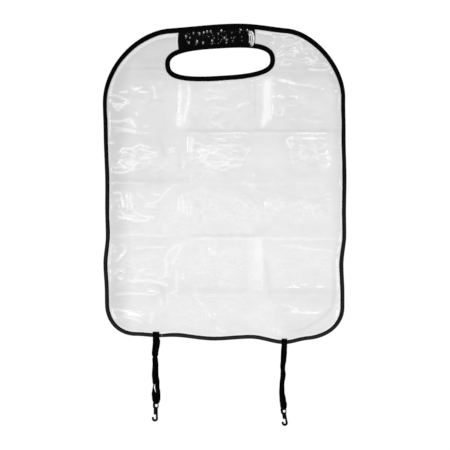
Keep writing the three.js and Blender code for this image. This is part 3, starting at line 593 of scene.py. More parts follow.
PILLOW_HEIGHT = 3.0
PILLOW_FULLNESS = 0.8
FOLD_HALF = 11


def humps(place, spans):
    """One sine hump in each span, 0 between them."""
    height = np.zeros_like(place)
    for start, end in spans:
        share = np.clip((place - start) / (end - start), 0, 1)
        inside = (place > start) & (place < end)
        height = np.where(inside, np.sin(math.pi * share), height)
    return height


def pillows(x, y):
    """Low pillows between the packing folds."""
    left, right = fold_place(LEFT_FOLD, y), fold_place(RIGHT_FOLD, y)
    side = half_width(y)
    across = humps(x, (
        (-side, left - FOLD_HALF), (left + FOLD_HALF, right - FOLD_HALF),
        (right + FOLD_HALF, side)))
    rows = [0, *FOLD_ROWS, MAT_LENGTH]
    return PILLOW_HEIGHT * (across * humps(y, zip(rows[:-1], rows[1:]))) ** PILLOW_FULLNESS


def flat_ridge(x, y, centre, half, low_y, high_y):
    """A fold's flat top, raised between its two creases."""
    across = eased((half + 2 - np.abs(x - centre)) / 4)
    along = eased((y - low_y) / 10 + 0.5) * eased((high_y - y) / 10 + 0.5)
    return across * along


GATHER_PITCH = 8.5
GATHER_SHARPNESS = 0.96
GATHER_MARGIN = 1.5


def gathers(x, y):
    """Gathers that the stretched band draws in the film between the two bindings."""
    near_x = np.clip(x, GATHER_LEFT, GATHER_RIGHT)
    low_side = np.interp(near_x, *slot_upper.T) + OPENING_BINDING + GATHER_MARGIN
    high_side = np.interp(near_x, *crown_part.T) - CROWN_BINDING - GATHER_MARGIN
    across = np.clip((y - low_side) / (high_side - low_side), 0, 1)
    along = np.clip((x - GATHER_LEFT) / (GATHER_RIGHT - GATHER_LEFT), 0, 1)
    fade = np.sin(math.pi * across) * np.minimum(1, 8 * along * (1 - along))
    lean = (across - 0.5) * 2.5 + 2.4 * lattice_noise(x, y, 16, 14, 5)
    turn = np.sin(2 * math.pi * (x - GATHER_LEFT + lean) / GATHER_PITCH)
    pleat = 0.5 + np.arcsin(GATHER_SHARPNESS * turn) / (2 * math.asin(GATHER_SHARPNESS))
    return (0.28 + 0.2 * lattice_noise(x, y, 11, 9, 7)) * fade * pleat


def puckers(x, y):
    """Rise of the gathered film's small puckers, and the glints painted on them."""
    rise, light = np.zeros_like(x), np.zeros_like(x)
    for px, py, radius in PUCKERS:
        away = np.hypot(x - px, (y - py) * 0.6) / radius
        rise += 0.16 * radius * np.clip(1 - away / 0.72, 0, 1) ** 1.2
        light += 1.9 * np.exp(-0.5 * (away / 0.30) ** 2)
    return rise, light


def within(x, y, ramps):
    """How far places lie within a stretch bounded by ramps of (axis, start, full)."""
    share = 1.0
    for axis, start, full in ramps:
        share = share * ramp(x if axis == "x" else y, start, full)
    return share


def beside(line, right, down):
    return [(x + right, y - down) for x, y in line]


def level_line(start, end, height):
    return [(start, height), ((start + end) / 2, height), (end, height)]


def loose_marks():
    """Lines that wander with the film, with painted light and shade along them: (line, rise's width,
    rise, light's width, tone and painted light).
    """
    for line, height, tone_and_painted_light in PACKING_FOLDS:
        yield line, 1.9, height, 2.0, tone_and_painted_light
    for line in FAN_WRINKLES:
        yield line, 2.4, 0.9, 1.8, 0.14
    for line in PANEL_WRINKLES:
        yield line, 2.1, 0.22, 1.5, 0.26
    for line, strength in scattered_wrinkles():
        yield line, 2.0, 0.16 * strength, 1.8, 0.22 * strength
        yield beside(line, 1.6, 3.2), 2.0, 0, 2.0, -0.12 * strength
    for line, height, tone_and_painted_light in DARK_CREASES:
        yield line, 2.2, height, 2.2, tone_and_painted_light
    for start, end, height, bump, tone_and_painted_light in CROSS_CREASES:
        yield level_line(start, end, height), 1.8, bump, 1.5, tone_and_painted_light
    for start, end, height, width, tone_and_painted_light in CROSS_SHADES:
        yield level_line(start, end, height), width, 0, width, tone_and_painted_light


def placed_marks():
    """Lines that keep nearly to their places, each a painted highlight with a painted shade below it.
    """
    for line, tone_and_painted_light in BRIGHT_WRINKLES:
        yield line, 2.1, 0.5 * tone_and_painted_light, 1.6, 1.1 * tone_and_painted_light
        yield beside(line, 0.8, 3.8), 2.1, 0, 1.8, -0.2 * tone_and_painted_light


DIMPLE_RADIUS = 4.5


def pressed_marks(x, y, warp_x, warp_y):
    """Rise, and painted light and shade, of all the lines and spots in the film."""
    small_x, small_y = 0.7 * x + 0.3 * warp_x, 0.7 * y + 0.3 * warp_y
    rise, white = np.zeros_like(x), np.zeros_like(x)
    for mark_x, mark_y, marks in (
            (warp_x, warp_y, loose_marks()), (small_x, small_y, placed_marks())):
        for line, rise_width, height, light_width, tone_and_painted_light in marks:
            if height:
                press_line(rise, mark_x, mark_y, line, rise_width, height)
            press_line(white, mark_x, mark_y, line, light_width, tone_and_painted_light)
    for cx, cy, half_x, half_y, tone_and_painted_light in PAINTED_LIGHT_PATCHES:
        away = ((small_x - cx) / half_x) ** 2 + ((small_y - cy) / half_y) ** 2
        white += tone_and_painted_light * np.exp(-0.7 * away)
    for cx, cy in DIMPLES:
        away = np.hypot(warp_x - cx, (warp_y - cy) * 0.8)
        ring = np.exp(-0.5 * ((away - DIMPLE_RADIUS) / 1.8) ** 2)
        rise += 0.7 * ring
        white += 0.14 * ring
    return rise, white


def fold_flats(x, y):
    """Rise, and painted light, of the flats between doubled folds."""
    right_middle = 85 - 12 * ramp(y, 444, 408)
    right_half = 10 - 4 * ramp(y, 440, 416)
    rise = 0.5 * flat_ridge(x, y, right_middle, 10.5, 412, 512)
    soft = eased(1.25 - np.abs(x - right_middle) / right_half)
    soft = soft * ramp(y, 406, 428) * ramp(y, 514, 500)
    white = soft * (0.58 + 0.2 * lattice_noise(x, y, 3.5, 60, 34))
    white += 0.18 * (0.5 + 0.5 * ramp(x, 46, 66)) * flat_ridge(x, y, 60.5, 14.5, 92, 193)
    for middle, half, low_y, high_y, height, tone_and_painted_light in FOLD_FLATS:
        flat = flat_ridge(x, y, middle, half, low_y, high_y)
        rise += height * flat
        white += tone_and_painted_light * flat
    return rise, white


def creased_noise(x, y, size_x, size_y, seed, softness=0.03):
    """Noise with narrow ridges, which softness rounds."""
    return 1 - 2 * np.sqrt(lattice_noise(x, y, size_x, size_y, seed) ** 2 + softness)


FAN_CENTRE = (84, 548)


def fan(x, y, warp_x, warp_y):
    """Wrinkles that fan out from the opening's right end, where the band's pull ends."""
    reach = np.hypot(x - FAN_CENTRE[0], y - FAN_CENTRE[1])
    turn = np.degrees(np.arctan2(y - FAN_CENTRE[1], x - FAN_CENTRE[0]))
    strength = (
        ramp(reach, 12, 26) * ramp(reach, 112, 62) * ramp(turn, -38, -16) * ramp(turn, 92, 68))
    spokes = creased_noise(turn, reach, 8, 42, 25, 0.02)
    ripples = creased_noise(warp_x, warp_y, 9, 6, 26)
    # The second value is a painted highlight along the spokes
    return strength * (0.75 * spokes + 0.22 * ripples), 0.10 * strength * np.clip(spokes, 0, 1)


BAND_MIDDLE_Y = 587
BAND_HALF_Y = 18
BAND_FROM_Y = 560


def over_band(x, y):
    """1 where the film lies over the band, with its bowed ends, and 0 elsewhere."""
    bow = BAND_END_BOW * np.clip(1 - ((y - BAND_MIDDLE_Y) / BAND_HALF_Y) ** 2, 0, 1)
    return (
        eased((x - BAND_LEFT + bow + 1) / 2) * eased((BAND_RIGHT + bow + 1 - x) / 2)
        * ramp(y, BAND_FROM_Y, BAND_FROM_Y + 4))


def patch_wrinkles(x, y):
    """How strong the drawn fine wrinkles are, from the patches."""
    strongest = np.full_like(x, 0.10)
    for cx, cy, half_x, half_y, _, count, _ in WRINKLE_PATCHES:
        away = np.sqrt(((x - cx) / half_x) ** 2 + ((y - cy) / half_y) ** 2)
        strength = min(1, 0.3 + count / 30) * (0.5 if cy < FOLD_ROWS[1] else 1)
        strongest = np.maximum(strongest, eased(1.5 - away) * strength)
    return strongest


TAPE_MARGIN = 0.5
PILLOW_RUN = 42
RELIEF_RUN = 8
FILM_STANDS = 0.5
RELIEF_CLEARANCE = 0.15
# How marks wander from their lines, and how blotched the film is: (size x, size y, seed, amount)
WANDER_ACROSS = ((23, 17, 11, 1.6), (9, 9, 12, 0.7))
WANDER_ALONG = ((21, 16, 13, 1.4), (8, 9, 14, 0.6))
BLOTCHES = ((60, 40, 31, 0.02), (34, 22, 32, 0.06), (12, 7, 33, 0.05))


def film_shape(x, y, to_edge, to_opening):
    """Level, tone with painted light and shade, and strength of fine wrinkles of the film at places on
    the mat.
    """
    warp_x = x + layered_noise(x, y, WANDER_ACROSS)
    warp_y = y + layered_noise(x, y, WANDER_ALONG)
    rise, white = pressed_marks(x, y, warp_x, warp_y)
    fan_rise, fan_painted_light = fan(x, y, warp_x, warp_y)
    flat_rise, flat_painted_light = fold_flats(x, y)
    pucker_rise, painted_pucker_glints = puckers(x, y)
    # Fine wrinkles lie mostly across the mat, in patches
    patches = eased(0.5 + 1.4 * lattice_noise(x, y, 46, 34, 21))
    fine = patches * creased_noise(warp_x, warp_y, 30, 7.5, 22)
    rise += 0.34 * fine + 0.5 * lattice_noise(x, y, 30, 26, 24) + fan_rise

    above_band = over_band(x, y)
    outer_side = to_edge - binding_width(y) - TAPE_MARGIN
    tape_side = np.minimum(outer_side, to_opening - OPENING_BINDING - TAPE_MARGIN)
    near_rim = eased(tape_side / RELIEF_RUN)
    calm = 1.0
    for share, ramps in CALM_STRETCHES:
        calm = calm * (1 - share * within(x, y, ramps))
    open_film = eased(tape_side / PILLOW_RUN) * (calm * pillows(x, y) + flat_rise)
    open_film = open_film + near_rim * (calm * rise + FILM_STANDS)
    in_gathers = (x > GATHER_LEFT) & (x < GATHER_RIGHT) & (y > FULL_LIFT_HEIGHT)
    level = EDGE_GAP + FILM_THICKNESS / 2 + lift(x, y)
    level = level + np.where(in_gathers, gathers(x, y) + pucker_rise, open_film)
    level = np.maximum(level, TAPE_THICKNESS + RELIEF_CLEARANCE)

    # The film's tone: painted light and shade by height, along the marks, on the fan, the flats and the
    # fine wrinkles; then random blotches, and painted light and shade by stretch
    tone = eased_through(PAINTED_LIGHT_BY_HEIGHT, y) + white + fan_painted_light + flat_painted_light + 0.02 * fine
    tone += layered_noise(x, y, BLOTCHES)
    for tone_and_painted_light, ramps in PAINTED_LIGHT_AND_SHADE_STRETCHES:
        tone += tone_and_painted_light * within(x, y, ramps)
    # Painted shade near the outer tape at the bottom
    tone -= 0.08 * ramp(to_edge, 24, 12) * ramp(y, 40, 10)
    # A painted light line along the tape low down, and a painted shade along the outer tape high up
    tone += 0.42 * np.exp(-0.5 * ((tape_side - 0.4) / 1.3) ** 2) * ramp(y, 440, 380)
    tone -= 0.30 * np.exp(-0.5 * (outer_side / 7) ** 2) * ramp(y, 440, 500)
    # Over the band the painted tone is taken off so that the band shows black, and the puckers' painted
    # glints go on
    tone = tone * (1 - above_band) + painted_pucker_glints
    return level, np.clip(tone, 0, 1), patch_wrinkles(x, y) * calm * (1 - above_band) * near_rim


def mesh_piece(name, points, faces, material, attributes=None):
    """Makes a piece from points in the mat's millimetres."""
    mesh = bpy.data.meshes.new(name)
    placed = (np.asarray(points, float) + shift) / 1000
    mesh.from_pydata(placed.tolist(), [], faces)
    mesh.polygons.foreach_set("use_smooth", [True] * len(mesh.polygons))
    for attribute, values in (attributes or {}).items():
        values = np.asarray(values, float)
        kind = "FLOAT" if values.ndim == 1 else "FLOAT_VECTOR"
        layer = mesh.attributes.new(attribute, kind, "POINT")
        layer.data.foreach_set("value" if values.ndim == 1 else "vector", values.ravel())
    mesh.materials.append(material)
    mesh.update()
    piece = bpy.data.objects.new(name, mesh)
    bpy.context.scene.collection.objects.link(piece)
    return piece


def tube_faces(rings, count, joined=False, first=0):
    """Faces round a run of rings of count points each, joined up or closed at both ends."""
    faces = []
    for i in range(rings if joined else rings - 1):
        a, b = first + i * count, first + (i + 1) % rings * count
        for k in range(count):
            m = (k + 1) % count
            faces.append((a + k, a + m, b + m, b + k))
    if not joined:
        end = first + (rings - 1) * count
        faces.append(tuple(range(first + count - 1, first - 1, -1)))
        faces.append(tuple(range(end, end + count)))
    return faces


# Materials

def feed(tree, node, values):
    """Sets inputs of a node, or links other nodes' outputs to them."""
    for label, value in values.items():
        if isinstance(value, bpy.types.NodeSocket):
            tree.links.new(value, node.inputs[label])
        else:
            node.inputs[label].default_value = value


def new_group(name, inputs, outputs):
    group = bpy.data.node_groups.new(name, "ShaderNodeTree")
    for label, kind, value in inputs:
        socket = group.interface.new_socket(label, in_out="INPUT", socket_type=kind)
        if value is not None:
            socket.default_value = value
    for label, kind in outputs:
        group.interface.new_socket(label, in_out="OUTPUT", socket_type=kind)
    return group, group.nodes.new("NodeGroupInput"), group.nodes.new("NodeGroupOutput")


def math_node(tree, operation, first, second=None):
    node = tree.nodes.new("ShaderNodeMath")
    node.operation = operation
    feed(tree, node, {0: first} if second is None else {0: first, 1: second})
    return node.outputs[0]


def mix_colour(tree, share, first, second):
    node = tree.nodes.new("ShaderNodeMix")
    node.data_type = "RGBA"
    feed(tree, node, {0: share, 6: first, 7: second})
    return node.outputs[2]


def noise_node(tree, place, scale, detail):
    node = tree.nodes.new("ShaderNodeTexNoise")
    feed(tree, node, {"Vector": place, "Scale": scale, "Detail": detail})
    return node.outputs["Fac"]


SURFACE_OUTPUTS = [
    ("Color", "NodeSocketColor"), ("Roughness", "NodeSocketFloat"), ("Height", "NodeSocketFloat"),
]


def woven_group():
    """Weave of tape and elastic, from a place given in mm along and across the webbing."""
    group, given, put = new_group(
        "woven_webbing",
        [
            ("Place", "NodeSocketVector", None), ("Rib Pitch", "NodeSocketFloat", 1.1),
            ("Yarn Pitch", "NodeSocketFloat", 0.9), ("Wear", "NodeSocketFloat", 0.2),
            ("Ground", "NodeSocketColor", (0.01, 0.01, 0.01, 1)),
            ("Yarn", "NodeSocketColor", (0.04, 0.04, 0.04, 1)),
        ],
        SURFACE_OUTPUTS,
    )
    split = group.nodes.new("ShaderNodeSeparateXYZ")
    group.links.new(given.outputs["Place"], split.inputs[0])
    along = math_node(group, "DIVIDE", split.outputs[0], given.outputs["Yarn Pitch"])
    across = math_node(group, "DIVIDE", split.outputs[1], given.outputs["Rib Pitch"])
    phase = math_node(group, "MULTIPLY", math_node(group, "FLOOR", across), 0.5)

    def wave(turns, power):
        sine = math_node(group, "SINE", math_node(group, "MULTIPLY", turns, math.pi))
        return math_node(group, "POWER", math_node(group, "ABSOLUTE", sine), power)

    height = math_node(
        group, "MULTIPLY", wave(across, 0.6), wave(math_node(group, "ADD", along, phase), 0.5))
    fuzz = noise_node(group, given.outputs["Place"], 0.35, 3)
    patchy = math_node(group, "MULTIPLY", fuzz, given.outputs["Wear"])
    share = math_node(group, "ADD", math_node(group, "MULTIPLY", height, 0.7), patchy)
    colour = mix_colour(group, share, given.outputs["Ground"], given.outputs["Yarn"])
    rough = math_node(group, "SUBTRACT", 0.85, math_node(group, "MULTIPLY", height, 0.2))
    feed(group, put, {"Color": colour, "Roughness": rough, "Height": height})
    return group


def grain_group():
    """Fine grain and dull patches of moulded and spun surfaces."""
    group, given, put = new_group(
        "fine_grain",
        [
            ("Grain Size", "NodeSocketFloat", 0.5), ("Roughness", "NodeSocketFloat", 0.4),
            ("Base", "NodeSocketColor", (0.02, 0.02, 0.02, 1)),
            ("Rubbed", "NodeSocketColor", (0.05, 0.05, 0.05, 1)),
        ],
        SURFACE_OUTPUTS,
    )
    place = group.nodes.new("ShaderNodeTexCoord").outputs["Object"]
    scale = math_node(group, "DIVIDE", 1000, given.outputs["Grain Size"])
    fine = noise_node(group, place, scale, 4)
    broad = noise_node(group, place, 140, 3)
    wear_and_painted_light = math_node(group, "MULTIPLY", math_node(group, "POWER", broad, 3), 1.6)
    colour = mix_colour(group, wear_and_painted_light, given.outputs["Base"], given.outputs["Rubbed"])
    uneven = math_node(group, "MULTIPLY", math_node(group, "SUBTRACT", fine, 0.5), 0.25)
    rough = math_node(group, "ADD", given.outputs["Roughness"], uneven)
    feed(group, put, {"Color": colour, "Roughness": rough, "Height": fine})
    return group


def wrinkle_group():
    """Thin wrinkle lines of soft film, lying along one direction."""
    group, given, put = new_group(
        "fine_wrinkles",
        [
            ("Place", "NodeSocketVector", None), ("Turn", "NodeSocketFloat", 0.0),
            ("Length", "NodeSocketFloat", 0.04), ("Spacing", "NodeSocketFloat", 0.01),
            ("Line Width", "NodeSocketFloat", 0.12),
        ],
        [("Line", "NodeSocketFloat")],
    )
    rotate = group.nodes.new("ShaderNodeVectorRotate")
    rotate.rotation_type = "Z_AXIS"
    feed(group, rotate, {"Vector": given.outputs["Place"], "Angle": given.outputs["Turn"]})
    split = group.nodes.new("ShaderNodeSeparateXYZ")
    group.links.new(rotate.outputs[0], split.inputs[0])
    join = group.nodes.new("ShaderNodeCombineXYZ")
    feed(group, join, {
        0: math_node(group, "DIVIDE", split.outputs[0], given.outputs["Length"]),
        1: math_node(group, "DIVIDE", split.outputs[1], given.outputs["Spacing"]),
    })
    field = noise_node(group, join.outputs[0], 1.0, 0.3)
    away = math_node(group, "ABSOLUTE", math_node(group, "SUBTRACT", field, 0.5))
    faded = math_node(group, "DIVIDE", away, given.outputs["Line Width"])
    line = math_node(group, "SUBTRACT", 1.0, faded)
    feed(group, put, {"Line": math_node(group, "MAXIMUM", line, 0.0)})
    return group


def new_material(name):
    material = bpy.data.materials.new(name)
    material.use_nodes = True
    shader = material.node_tree.nodes["Principled BSDF"]
    return material, material.node_tree, shader


def add_bump(tree, shader, height, strength, distance):
    bump = tree.nodes.new("ShaderNodeBump")
    feed(tree, bump, {"Strength": strength, "Distance": distance, "Height": height})
    feed(tree, shader, {"Normal": bump.outputs["Normal"]})


def place_group(tree, group, values):
    node = tree.nodes.new("ShaderNodeGroup")
    node.node_tree = group
    feed(tree, node, values)
    return node


def attribute_node(tree, name):
    node = tree.nodes.new("ShaderNodeAttribute")
    node.attribute_name = name
    return node


weave = woven_group()
grain = grain_group()
wrinkles = wrinkle_group()


def webbing_material(name, rib, yarn, ground, light, wear_and_painted_light, wear, bump):
    material, tree, shader = new_material(name)
    place = attribute_node(tree, "webbing_place").outputs["Vector"]
    # The lighter colour mixed in by this share is painted light and painted sheen
    painted_light_share = attribute_node(tree, "wear_and_painted_light").outputs["Fac"]
    woven = place_group(tree, weave, {
        "Place": place, "Rib Pitch": rib, "Yarn Pitch": yarn,
        "Ground": ground, "Yarn": light, "Wear": wear,
    })
    feed(tree, shader, {
        "Base Color": mix_colour(tree, painted_light_share, woven.outputs["Color"], wear_and_painted_light),
        "Roughness": woven.outputs["Roughness"], "Specular IOR Level": 0.02,
    })
    add_bump(tree, shader, woven.outputs["Height"], bump, 0.0002)
    return material


# The tape's lighter colour is painted light and sheen, the elastic's is painted sheen
tape_material = webbing_material(
    "binding_tape_weave", rib=1.3, yarn=1.0, ground=(0.0006, 0.0006, 0.0007, 1),
    light=(0.003, 0.003, 0.0032, 1), wear_and_painted_light=(0.034, 0.034, 0.036, 1), wear=0.3, bump=0.5)
elastic_material = webbing_material(
    "ribbed_elastic", rib=1.0, yarn=0.8, ground=(0.0002, 0.0002, 0.0002, 1),
    light=(0.0009, 0.0009, 0.0009, 1), wear_and_painted_light=(0.012, 0.012, 0.013, 1), wear=0.3, bump=0.6)


def grained_material(name, size, base, wear_and_painted_light, roughness, bump, gloss):
    material, tree, shader = new_material(name)
    grained = place_group(tree, grain, {
        "Grain Size": size, "Base": base, "Rubbed": wear_and_painted_light, "Roughness": roughness,
    })
    feed(tree, shader, {
        "Base Color": grained.outputs["Color"], "Roughness": grained.outputs["Roughness"],
        "Specular IOR Level": gloss,
    })
    add_bump(tree, shader, grained.outputs["Height"], bump, 0.00015)
    return material


hook_material = grained_material(
    "moulded_hook_plastic", size=0.6, base=(0.0006, 0.0006, 0.0006, 1),
    wear_and_painted_light=(0.003, 0.003, 0.0033, 1), roughness=0.5, bump=0.2, gloss=0.06)
thread_material = grained_material(
    "black_thread", size=0.25, base=(0.001, 0.001, 0.001, 1),
    wear_and_painted_light=(0.008, 0.008, 0.0085, 1), roughness=0.6, bump=0.4, gloss=0.1)

FILM_OPACITY = 0.36
# The tuck's film is made more opaque so that its painted glare shows white
PAINTED_GLARE_OPACITY = 0.8
# Fine wrinkles painted into the film's tone as light and dark lines: (direction, length, spacing, line
# width, painted light)
FILM_WRINKLES = [
    (0.06, 0.10, 0.026, 0.028, 0.30), (-0.5, 0.07, 0.030, 0.024, 0.20),
    (0.12, 0.12, 0.036, 0.03, -0.20), (1.2, 0.07, 0.034, 0.022, 0.18),
]


def film_material(name, opacity):
    material, tree, shader = new_material(name)
    # The film's colour follows its tone, which carries painted light and shade
    white = attribute_node(tree, "tone_and_painted_light").outputs["Fac"]
    place = tree.nodes.new("ShaderNodeTexCoord").outputs["Object"]
    haze = noise_node(tree, place, 60, 4)
    uneven = math_node(tree, "ADD", 0.94, math_node(tree, "MULTIPLY", haze, 0.12))
    share = math_node(tree, "MULTIPLY", white, uneven)
    wrinkled = attribute_node(tree, "wrinkled").outputs["Fac"]
    # The drawn wrinkle lines are painted light and shade, added to the film's tone where it is wrinkled
    lines = 0.0
    for turn, length, spacing, width, strength in FILM_WRINKLES:
        drawn = place_group(tree, wrinkles, {
            "Place": place, "Turn": turn, "Length": length, "Spacing": spacing,
            "Line Width": width})
        line = math_node(tree, "MULTIPLY", drawn.outputs["Line"], strength)
        lines = math_node(tree, "ADD", line, lines)
    share = math_node(tree, "ADD", share, math_node(tree, "MULTIPLY", lines, wrinkled))
    share = math_node(tree, "MINIMUM", math_node(tree, "MAXIMUM", share, 0.0), 1.0)
    feed(tree, shader, {
        "Base Color": mix_colour(tree, share, (0.0, 0.0, 0.0, 1), (1.0, 1.0, 1.0, 1)),
        "Roughness": math_node(tree, "ADD", 0.08, math_node(tree, "MULTIPLY", haze, 0.06)),
        "Alpha": opacity, "Specular IOR Level": 0.8,
        "Coat Weight": 1.0, "Coat Roughness": 0.06, "Coat IOR": 1.7,
    })
    add_bump(tree, shader, noise_node(tree, place, 120, 1), 0.08, 0.0003)
    return material


film_surface = film_material("clear_vinyl_film", FILM_OPACITY)
painted_glare_surface = film_material("painted_glare_vinyl_film", PAINTED_GLARE_OPACITY)

# The film, one sheet over a fine grid that is trimmed inside the folded tape
FILM_STEP = 1.8
FILM_TRIM = 4.0
GRID_MARGIN = 6
GRID_LOW = -18
FINE_FROM_Y = 566


def film_piece():
    reach_x = SHOULDER_WIDTH / 2 + GRID_MARGIN
    xs = np.arange(-reach_x, reach_x, FILM_STEP)
    ys = np.arange(GRID_LOW, MAT_LENGTH + 2, FILM_STEP)
    grid = np.stack(np.meshgrid(xs, ys, indexing="ij"), -1).reshape(-1, 2)
    edge_depth, _ = edge_rim.depth(grid)
    slot_depth, _ = opening_rim.depth(grid)
    inside = (edge_depth > FILM_TRIM - FILM_STEP) & (slot_depth > FILM_TRIM - FILM_STEP)
    inside = inside.reshape(len(xs), len(ys))
    keep = inside[:-1, :-1] & inside[1:, :-1] & inside[1:, 1:] & inside[:-1, 1:]
    columns, rows = np.nonzero(keep)
    base = columns * len(ys) + rows
    quads = np.column_stack([base, base + len(ys), base + len(ys) + 1, base + 1])
    used, packed = np.unique(quads, return_inverse=True)
    quads = packed.reshape(quads.shape)
    flat = grid[used]

    # The gathers take a finer grid
    net = bmesh.new()
    corners = [net.verts.new((x, y, 0)) for x, y in flat]
    for a, b, c, d in quads:
        net.faces.new((corners[a], corners[b], corners[c], corners[d]))
    fine_faces = [
        face for face in net.faces
        if GATHER_LEFT - 3 < face.verts[0].co.x < GATHER_RIGHT + 2
        and face.verts[0].co.y > FINE_FROM_Y]
    fine_edges = list({side for face in fine_faces for side in face.edges})
    bmesh.ops.subdivide_edges(net, edges=fine_edges, cuts=1, use_grid_fill=True)
    net.verts.ensure_lookup_table()
    net.verts.index_update()
    places = np.array([corner.co[:2] for corner in net.verts])
    faces = [[corner.index for corner in face.verts] for face in net.faces]
    net.free()

    # The grid's steps at both edges are drawn straight under the tape
    for rim in (edge_rim, opening_rim):
        depth, index = rim.depth(places)
        short = depth < FILM_TRIM
        places[short] += rim.inward[index[short]] * (FILM_TRIM - depth[short])[:, None]
    x, y = places[:, 0], places[:, 1]
    to_edge, _ = edge_rim.depth(places)
    to_opening, _ = opening_rim.depth(places)
    level, white, wrinkled = film_shape(x, y, to_edge, to_opening)
    return mesh_piece(
        "clear_film", np.column_stack([x, y, level]), faces, film_surface,
        attributes={"tone_and_painted_light": white, "wrinkled": wrinkled})


# A small tuck of film, folded on itself beside the band's right end, with glare painted white on its
# folds
TUCK_START = (44.6, 572)
TUCK_HEIGHT = 32
TUCK_FOLDS = [0, 2.3, 0.4, 6.6, 4.0, 11.8, 7.5, 11.4]
TUCK_PAINTED_GLARE = ((0.4, 2.4), (3.9, 6.6), (7.4, 12))
TUCK_LAYER = 0.18
TUCK_STEPS = 8
TUCK_ROWS = 41
TUCK_STANDS = 0.75


def film_tuck():
    run = np.interp(
        np.arange(TUCK_STEPS * (len(TUCK_FOLDS) - 1) + 1) / TUCK_STEPS,
        np.arange(len(TUCK_FOLDS)), TUCK_FOLDS)
    folded = np.any([(run > start) & (run < end) for start, end in TUCK_PAINTED_GLARE], axis=0)
    layer = TUCK_LAYER * np.arange(len(run)) / TUCK_STEPS
    vertices, white = [], []
    for share in np.linspace(0, 1, TUCK_ROWS):
        y = TUCK_START[1] + TUCK_HEIGHT * share
        bow = BAND_END_BOW * 4 * share * (1 - share)
        wander = 0.7 * float(lattice_noise(y, 0.0, 7, 1, 61))
        narrowing = 0.55 + 0.45 * math.sin(math.pi * share) ** 0.6
        x = TUCK_START[0] + bow + wander + (run - 5) * narrowing + 5
        ys = np.full(len(run), y)
        sway = 0.25 * lattice_noise(run * 2, ys, 3, 6, 62)
        stands = TUCK_STANDS * math.sin(math.pi * share) + 0.1
        base = EDGE_GAP + FILM_THICKNESS + lift(x, y) + stands
        vertices.extend(np.column_stack([x, ys, base + layer + sway]))
        # Painted glare: the folded layers are painted nearly white
        strength = 0.9 + 0.2 * lattice_noise(run * 2, ys, 3, 9, 63)
        white.extend(np.where(folded, strength, 0.03) * eased(min(share, 1 - share) * 9))
    count = len(run)
    faces = [
        (i * count + k, i * count + k + 1, (i + 1) * count + k + 1, (i + 1) * count + k)
        for i in range(TUCK_ROWS - 1) for k in range(count - 1)]
    return mesh_piece(
        "film_tuck", vertices, faces, painted_glare_surface,
        attributes={"tone_and_painted_light": white, "wrinkled": np.zeros(len(white))})


# Folded tape

TAPE_SPACING = 3.0
TAPE_CROWN = 0.18
TAPE_WANDER = ((26, 1, 51, 0.35), (7, 1, 52, 0.15))
# Painted light on the tape: lighter low down, black near the crown, with a painted sheen along its
# middle
TAPE_PAINTED_LIGHT = 0.16
MIDDLE_PAINTED_SHEEN = 0.42
JOINT_REACH = 8
JOINT_CLOSING = 0.85
JOINT_NOTCH = 2.5


def tape_section(width):
    """Ring round the folded tape: (depth from the edge, level, share of the gap between the legs
    that comes on top, whether it faces up or out)."""
    outer, inner = TAPE_THICKNESS + LEG_GAP / 2, LEG_GAP / 2
    ring = []
    for angle in (-90, -67, -45, -22, 0, 22, 45, 67, 90):
        turn = math.radians(angle)
        share = (1 + math.sin(turn)) / 2
        ring.append((outer * (1 - math.cos(turn)), 2 * TAPE_THICKNESS * share, share, True))
    for share in (0.3, 0.4, 0.48, 0.56, 0.64, 0.75, 0.9, 1.0):
        crown = TAPE_CROWN * math.sin(math.pi * share)
        ring.append((width * share, 2 * TAPE_THICKNESS + crown, 1, True))
    ring.append((width, TAPE_THICKNESS, 1, False))
    for angle in (90, 0, -90):
        turn = math.radians(angle)
        share = (1 + math.sin(turn)) / 2
        ring.append((outer - inner * math.cos(turn), TAPE_THICKNESS, share, False))
    ring.append((width, TAPE_THICKNESS, 0, False))
    ring.extend((width * share, 0, 0, False) for share in (1.0, 0.75, 0.5, 0.3))
    return ring


def folded_tape(name, edge, width_at, closed):
    """A length of tape folded over an edge, crowned a little over the film."""
    points = respaced(edge, TAPE_SPACING, closed)
    inward = inward_normals(points, closed)
    reaches = np.concatenate([[0], np.cumsum(np.hypot(*np.diff(points, axis=0).T))])
    still = np.zeros(len(points))
    wander = layered_noise(reaches, still, TAPE_WANDER)
    if closed:
        wander = wander * eased(np.minimum(reaches, reaches[-1] - reaches) / 20)
    vertices, places, wear_and_painted_light = [], [], []
    for number, (point, normal, width, reach, drift) in enumerate(
            zip(points, inward, width_at(points[:, 1]), reaches, wander)):
        ring = tape_section(width)
        from_joint = min(reach, reaches[-1] - reach) / JOINT_REACH
        narrowed = 1 if closed else 1 - 0.13 * math.exp(-from_joint ** 2)
        at_joint = 0 if closed else (number == 0) - (number == len(points) - 1)
        along = np.array([normal[1], -normal[0]])
        for depth, level, gap_share, outside in ring:
            depth *= narrowed
            here = point + normal * (depth + (drift if depth > 3 else 0))
            if at_joint:
                notch = math.exp(-0.5 * ((depth - 4.0) / 0.95) ** 2)
                here = here - along * at_joint * (JOINT_CLOSING - JOINT_NOTCH * notch)
            gap = LEG_GAP + float(lift(*here))
            vertices.append((*here, level + gap * gap_share))
            places.append((reach, depth if outside else -depth, 0))
            # Painted sheen along the middle of the tape's outside, and painted light that is strongest
            # low down and gone near the crown
            middle = math.exp(-0.5 * ((depth - 0.45 * width) / 1.5) ** 2) if outside else 0
            low_down = ramp(here[1], 520, 100) * (1 + 0.4 * ramp(here[1], 24, 0))
            wear_and_painted_light.append((TAPE_PAINTED_LIGHT + MIDDLE_PAINTED_SHEEN * middle) * float(low_down))
    faces = tube_faces(len(points), len(ring), closed)
    if closed:
        faces = [face[::-1] for face in faces]
    return mesh_piece(
        name, vertices, faces, tape_material,
        attributes={"webbing_place": places, "wear_and_painted_light": wear_and_painted_light})


